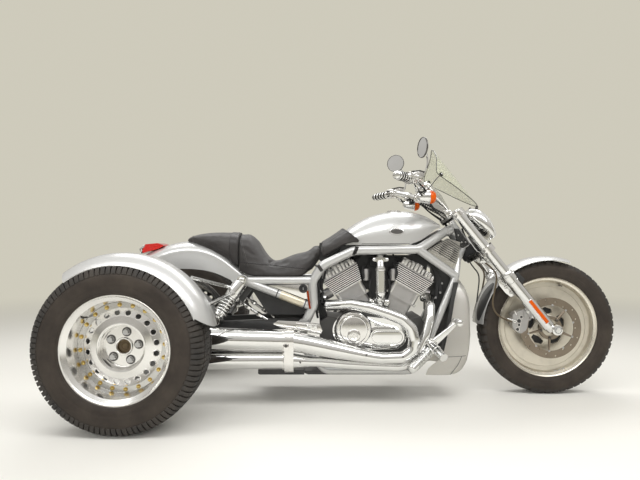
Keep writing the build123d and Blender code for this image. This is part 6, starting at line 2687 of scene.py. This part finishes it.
    def mirrors(self) -> None:
        """The round mirror heads: dished shells, rims and glass on thin stems."""
        rows = [
            (
                (283, -232, 1161), (-0.957, -0.29, 0.02),
                [(272, -226, 1004), (298, -229, 1044), (314, -230, 1110), (296, -231, 1158)]
            ),
            (
                (233, 232, 1172), (-0.36, -0.93, 0.05),
                [(272, 226, 1004), (292, 230, 1050), (286, 238, 1126), (238, 246, 1170)]
            ),
        ]
        shells, glass, rims = [], [], []
        for centre, face, stem in rows:
            middle, way = mm(*centre), Vector(face).normalized()
            shells.append(lathe([
                (43.4, -0.8), (44.2, 0), (45, -0.6), (45, -3), (43, -8), (37, -12.4), (26, -15.4),
                (12, -16.6), (0.05, -17), (0.05, -4), (43, -3)
            ], middle, 64, axis=way))
            glass.append(lathe([(0.05, -0.9), (43.6, -1.4), (43.6, -3), (0.05, -3)], middle, 64, axis=way))
            rims.append(lathe([
                (43.0, -1.6), (44.0, 0.8), (46.0, 0.4), (46.8, -2.0), (46.4, -5.2), (43.6, -6.0)
            ], middle, 64, axis=way))
            shells.append(tube(placed(stem), 4.2, sides=12))
            shells.append(
                rod(mm(*stem[0]) - Vector((0, 0, 0.012)), mm(*stem[0]) + Vector((0, 0, 0.008)), 8, soft=1)
            )
            shells.append(ball(mm(*stem[-1]), (8, 8, 8)))
        self.put(shells, "mirror_shells", Finishes.chrome, "mirrors", sharp=40.0)
        self.put(rims, "mirror_rims", Finishes.dark_steel, sharp=40.0)
        self.put(glass, "mirror_glass", Finishes.mirror, sharp=40.0)

    def indicators(self) -> None:
        """Rounded indicator shells with domed, ringed amber lenses."""
        shells, lenses = [], []
        for side in Side:
            y = int(side) * 190
            at = mm(322, y, 942)
            shells.append(lathe([
                (30.8, 0), (31.2, -4), (30, -10), (27, -24), (22, -40), (15, -51), (6, -55.6), (0.05, -56),
                (0.05, -6), (29, -2)
            ], at, 56, axis=(1, 0, 0)))
            shells.append(
                lathe([(30.6, -1), (31.8, 0.5), (31.8, 3), (30.4, 4), (29, 2)], at, 56, axis=(1, 0, 0))
            )
            shells.append(rod(mm(287, y, 956), mm(297, int(side) * 188, 990), 7, soft=0.6))
            shells.append(lathe(
                [(13, -9), (17, -8), (17, 8), (13, 9)], mm(298, int(side) * 190, 992), 36,
                axis=(-0.5, 0.8 * int(side), 0.2)
            ))
            lenses.append(lathe([
                (29.6, 1), (30.6, 8), (29.5, 17), (25, 26), (17, 31.5), (8, 33.6), (0.05, 34), (0.05, 1)
            ], at, 56, axis=(1, 0, 0)))
        self.put(shells, "indicator_shells", Finishes.chrome, "indicators", sharp=36.0)
        self.put(lenses, "indicator_domes", Finishes.amber, "indicator_lenses", sharp=50.0)

    def cables(self) -> None:
        """Throttle, clutch, brake and switch cables from the bar ends to the fork's head."""
        runs = [
            ([
                (244, -262, 990), (262, -232, 968), (292, -196, 960), (312, -150, 954), (330, -96, 950),
                (372, -50, 896), (430, -36, 858), (455, -33, 838)
            ], 3.2),
            ([
                (268, -250, 996), (300, -212, 978), (320, -160, 966), (336, -104, 950), (382, -56, 886),
                (440, -42, 846)
            ], 3.4),
        ]
        tubes = [tube(placed(run), radius, sides=10) for run, radius in runs]
        self.put(tubes, "bar_cables", Finishes.hose, twin=True, sharp=60.0)
        ties = [
            rod(mm(292, -194, 952), mm(296, -182, 972), 11, soft=2),
            box(mm(306, -172, 950), (24, 26, 20), soft=4),
            tube([
                mm(262, -236, 980), mm(274, -226, 950), mm(296, -206, 944), mm(304, -186, 962)
            ], 3.4, sides=10)
        ]
        self.put(ties, "cable_ties", Finishes.plastic, twin=True, sharp=40.0)
        metal = [
            rod(mm(250, -250, 984), mm(262, -230, 966), 6.2, soft=1),
            box(mm(286, -196, 976), (20, 22, 14), soft=3)
        ]
        self.put(metal, "cable_fittings", Finishes.bright_cast, twin=True, sharp=40.0)


@dataclass
class Screen(SubAssembly):
    """The small kite-shaped screen with its edge bead, grommets, wire stays and its foot on the lamp."""

    body: Body = Body.FORK
    tip: tuple[float, float] = (603.0, 919.0)
    curl: float = 0.0042
    edge: tuple[tuple[float, float], ...] = (  # distance up from the lower tip, half of the width there
        (0, 0), (2, 13), (5, 21), (15, 36), (30, 51), (46, 63), (63, 74), (88, 88), (113, 99.5), (144, 112),
        (175, 124), (205, 134.5), (232, 143), (246, 146.5), (256, 147), (266, 143), (278, 132), (290, 117),
        (302, 100), (316, 80), (328, 60), (340, 41), (349, 24), (355, 10), (357, 0),
    )

    def on_sheet(self, up: float, across: float, out: float = 0.0) -> Vector:
        """A point on the sheet by its distance up from the tip, its Y and how far it is raised."""
        rise, normal = Vector((-0.6274, 0, 0.7787)), Vector((0.7787, 0, 0.6274))
        outward = (normal + Vector((0, 2 * self.curl * across, 0))).normalized()
        return mm(self.tip[0], across, self.tip[1]) + (
            rise * up - normal * self.curl * across**2 + outward * out
        ) * MM

    def sheet(self) -> Mesh:
        """The curved sheet, 3.2 mm thick."""
        bm = bmesh.new()
        rows = [
            [bm.verts.new(self.on_sheet(up, half * i / 12)) for i in range(-12, 13)]
            for up, half in self.edge
        ]
        for low, high in zip(rows, rows[1:]):
            for i in range(24):
                bm.faces.new((low[i], low[i + 1], high[i + 1], high[i]))
        bmesh.ops.remove_doubles(bm, verts=bm.verts, dist=1e-5)
        bmesh.ops.dissolve_degenerate(bm, edges=bm.edges, dist=1e-6)
        if sum(face.normal.x for face in bm.faces) < 0:
            bmesh.ops.reverse_faces(bm, faces=bm.faces)
        bmesh.ops.solidify(bm, geom=list(bm.faces), thickness=3.2 * MM)
        return bm

    def build(self) -> None:
        """Makes every piece."""
        self.put([self.sheet()], "screen_sheet", Finishes.screen, "windscreen", sharp=50.0)
        rim = [self.on_sheet(up, half, -1.6) for up, half in self.edge] + [
            self.on_sheet(up, -half, -1.6)
            for up, half in reversed(self.edge[1:-1])
        ]
        self.put(
            [tube(rim, 2.2, sides=8, smooth=3, loop=True)], "screen_edge", Finishes.screen_edge, sharp=60.0
        )
        ring = [(4.0, -6), (8.8, -5.4), (10.6, -2.4), (6.6, 0), (10.6, 2.4), (8.8, 5.4), (4.0, 6)]
        grommets, stays, nuts = [], [], []
        for side in Side:
            s = int(side)
            spot = self.on_sheet(238, s * 137, -1.6)
            way = (self.on_sheet(238, s * 137, 10) - spot).normalized()
            grommets.append(lathe(ring, spot, 36, axis=way))
            nuts.append(rod(spot - way * 0.008, spot + way * 0.008, 4.2, soft=0.8))
            stays.append(tube([
                spot - way * 0.006, spot - way * 0.016 + mm(-8, -s * 4, -8), mm(350, s * 112, 1004),
                mm(322, s * 104, 974)
            ], 2.4, sides=10))
        self.put(grommets, "screen_grommets", Finishes.hose, sharp=40.0)
        self.put(nuts, "screen_nuts", Finishes.chrome)
        for outline, half in (
            ([(548, 884), (606, 888), (604, 895), (548, 892)], 15),
            ([(592, 888), (602, 888), (606, 918), (598, 922)], 12),
            ([(556, 886), (566, 886), (572, 908), (566, 912)], 10)
        ):
            stays.append(slab(outline, -half, half, soft=1.5))
        self.put(stays, "screen_stays", Finishes.dark_steel, "screen_mounts", sharp=40.0)


@dataclass
class Pedals(SubAssembly):
    """Rubber rings on the forward pegs, the brake pedal's pad and the gear lever's toe."""

    body: Body = Body.CHASSIS

    def build(self) -> None:
        """Makes every piece."""
        start, end = mm(332, -196, 246), mm(224, -288, 176)
        way = (end - start).normalized()
        rubber, metal = [], []
        for i in range(5):
            at = start + way * (46 + 19 * i) * MM
            rubber.append(lathe([(22, -5), (24.4, -4), (25.6, 0), (24.4, 4), (22, 5)], at, 44, axis=way))
        metal.append(
            lathe([(0.05, 8), (12, 7.4), (18, 5), (21, 1), (21.8, -4), (0.05, -4)], end, 44, axis=way)
        )
        metal.append(
            lathe([(22.2, -4), (24.8, -3), (24.8, 3), (22.2, 4)], start + way * 26 * MM, 44, axis=way)
        )
        tip = mm(446, -200, 373.6)
        for i in range(4):
            rubber.append(lathe([
                (13, -4), (15, -3), (15.6, 0), (15, 3), (13, 4)
            ], tip + mm(0, -12 - 13 * i, -0.5), 36, -1))
        metal.append(
            lathe([(0.05, 4), (9, 3.4), (12.6, 1), (13.2, -2), (0.05, -2)], mm(446, -262, 372), 36, -1)
        )
        metal.append(slab([
            (326, 268), (340, 292), (398, 336), (420, 372), (434, 390), (452, 386), (458, 371), (440, 350),
            (408, 316), (350, 260)
        ], -208, -197, soft=3.0))
        teeth = around(box(mm(326, -197, 284), (4, 5, 6), soft=1), mm(326, -197, 262), 14)
        metal += [
            teeth, bolt(mm(333, -214, 286), (0, -1, 0), 8, 6, washer=12),
            bolt(mm(352, -290, 238), (0.2, -1, -0.3), 7, 5, round_head=True)
        ]
        metal.append(lathe([
            (19, -5), (21.4, -4), (21.4, 4), (19, 5)
        ], mm(344, -246, 253), 40, axis=(0.35, -0.9, -0.4)))
        self.put(rubber, "peg_rubbers", Finishes.ring_alloy, twin=True, sharp=50.0)
        self.put(metal, "peg_trim", Finishes.chrome, twin=True, sharp=36.0)


def main() -> None:
    """Builds every piece in order and reports it."""
    logging.basicConfig(level=logging.INFO, format="%(name)s: %(message)s")
    bpy.context.scene.view_settings.view_transform = "Standard"
    Studio().build()
    for finish, nodes in NODES_BY_FINISH.items():
        dress(finish, nodes)
        LOG.info("%s: %s", finish.name, ", ".join(nodes))
    parts = (
        RearWheel(Side.RIGHT), RearWheel(Side.LEFT), FrontWheel(), Engine(), Exhaust(), Suspension(),
        FrameTrim(), Bodywork(), Upholstery(), Fork(), Cockpit(), Screen(), Pedals(),
    )
    for part in parts:
        part.build()
        LOG.info("%s done", type(part).__name__)


if __name__ == "__main__":
    main()
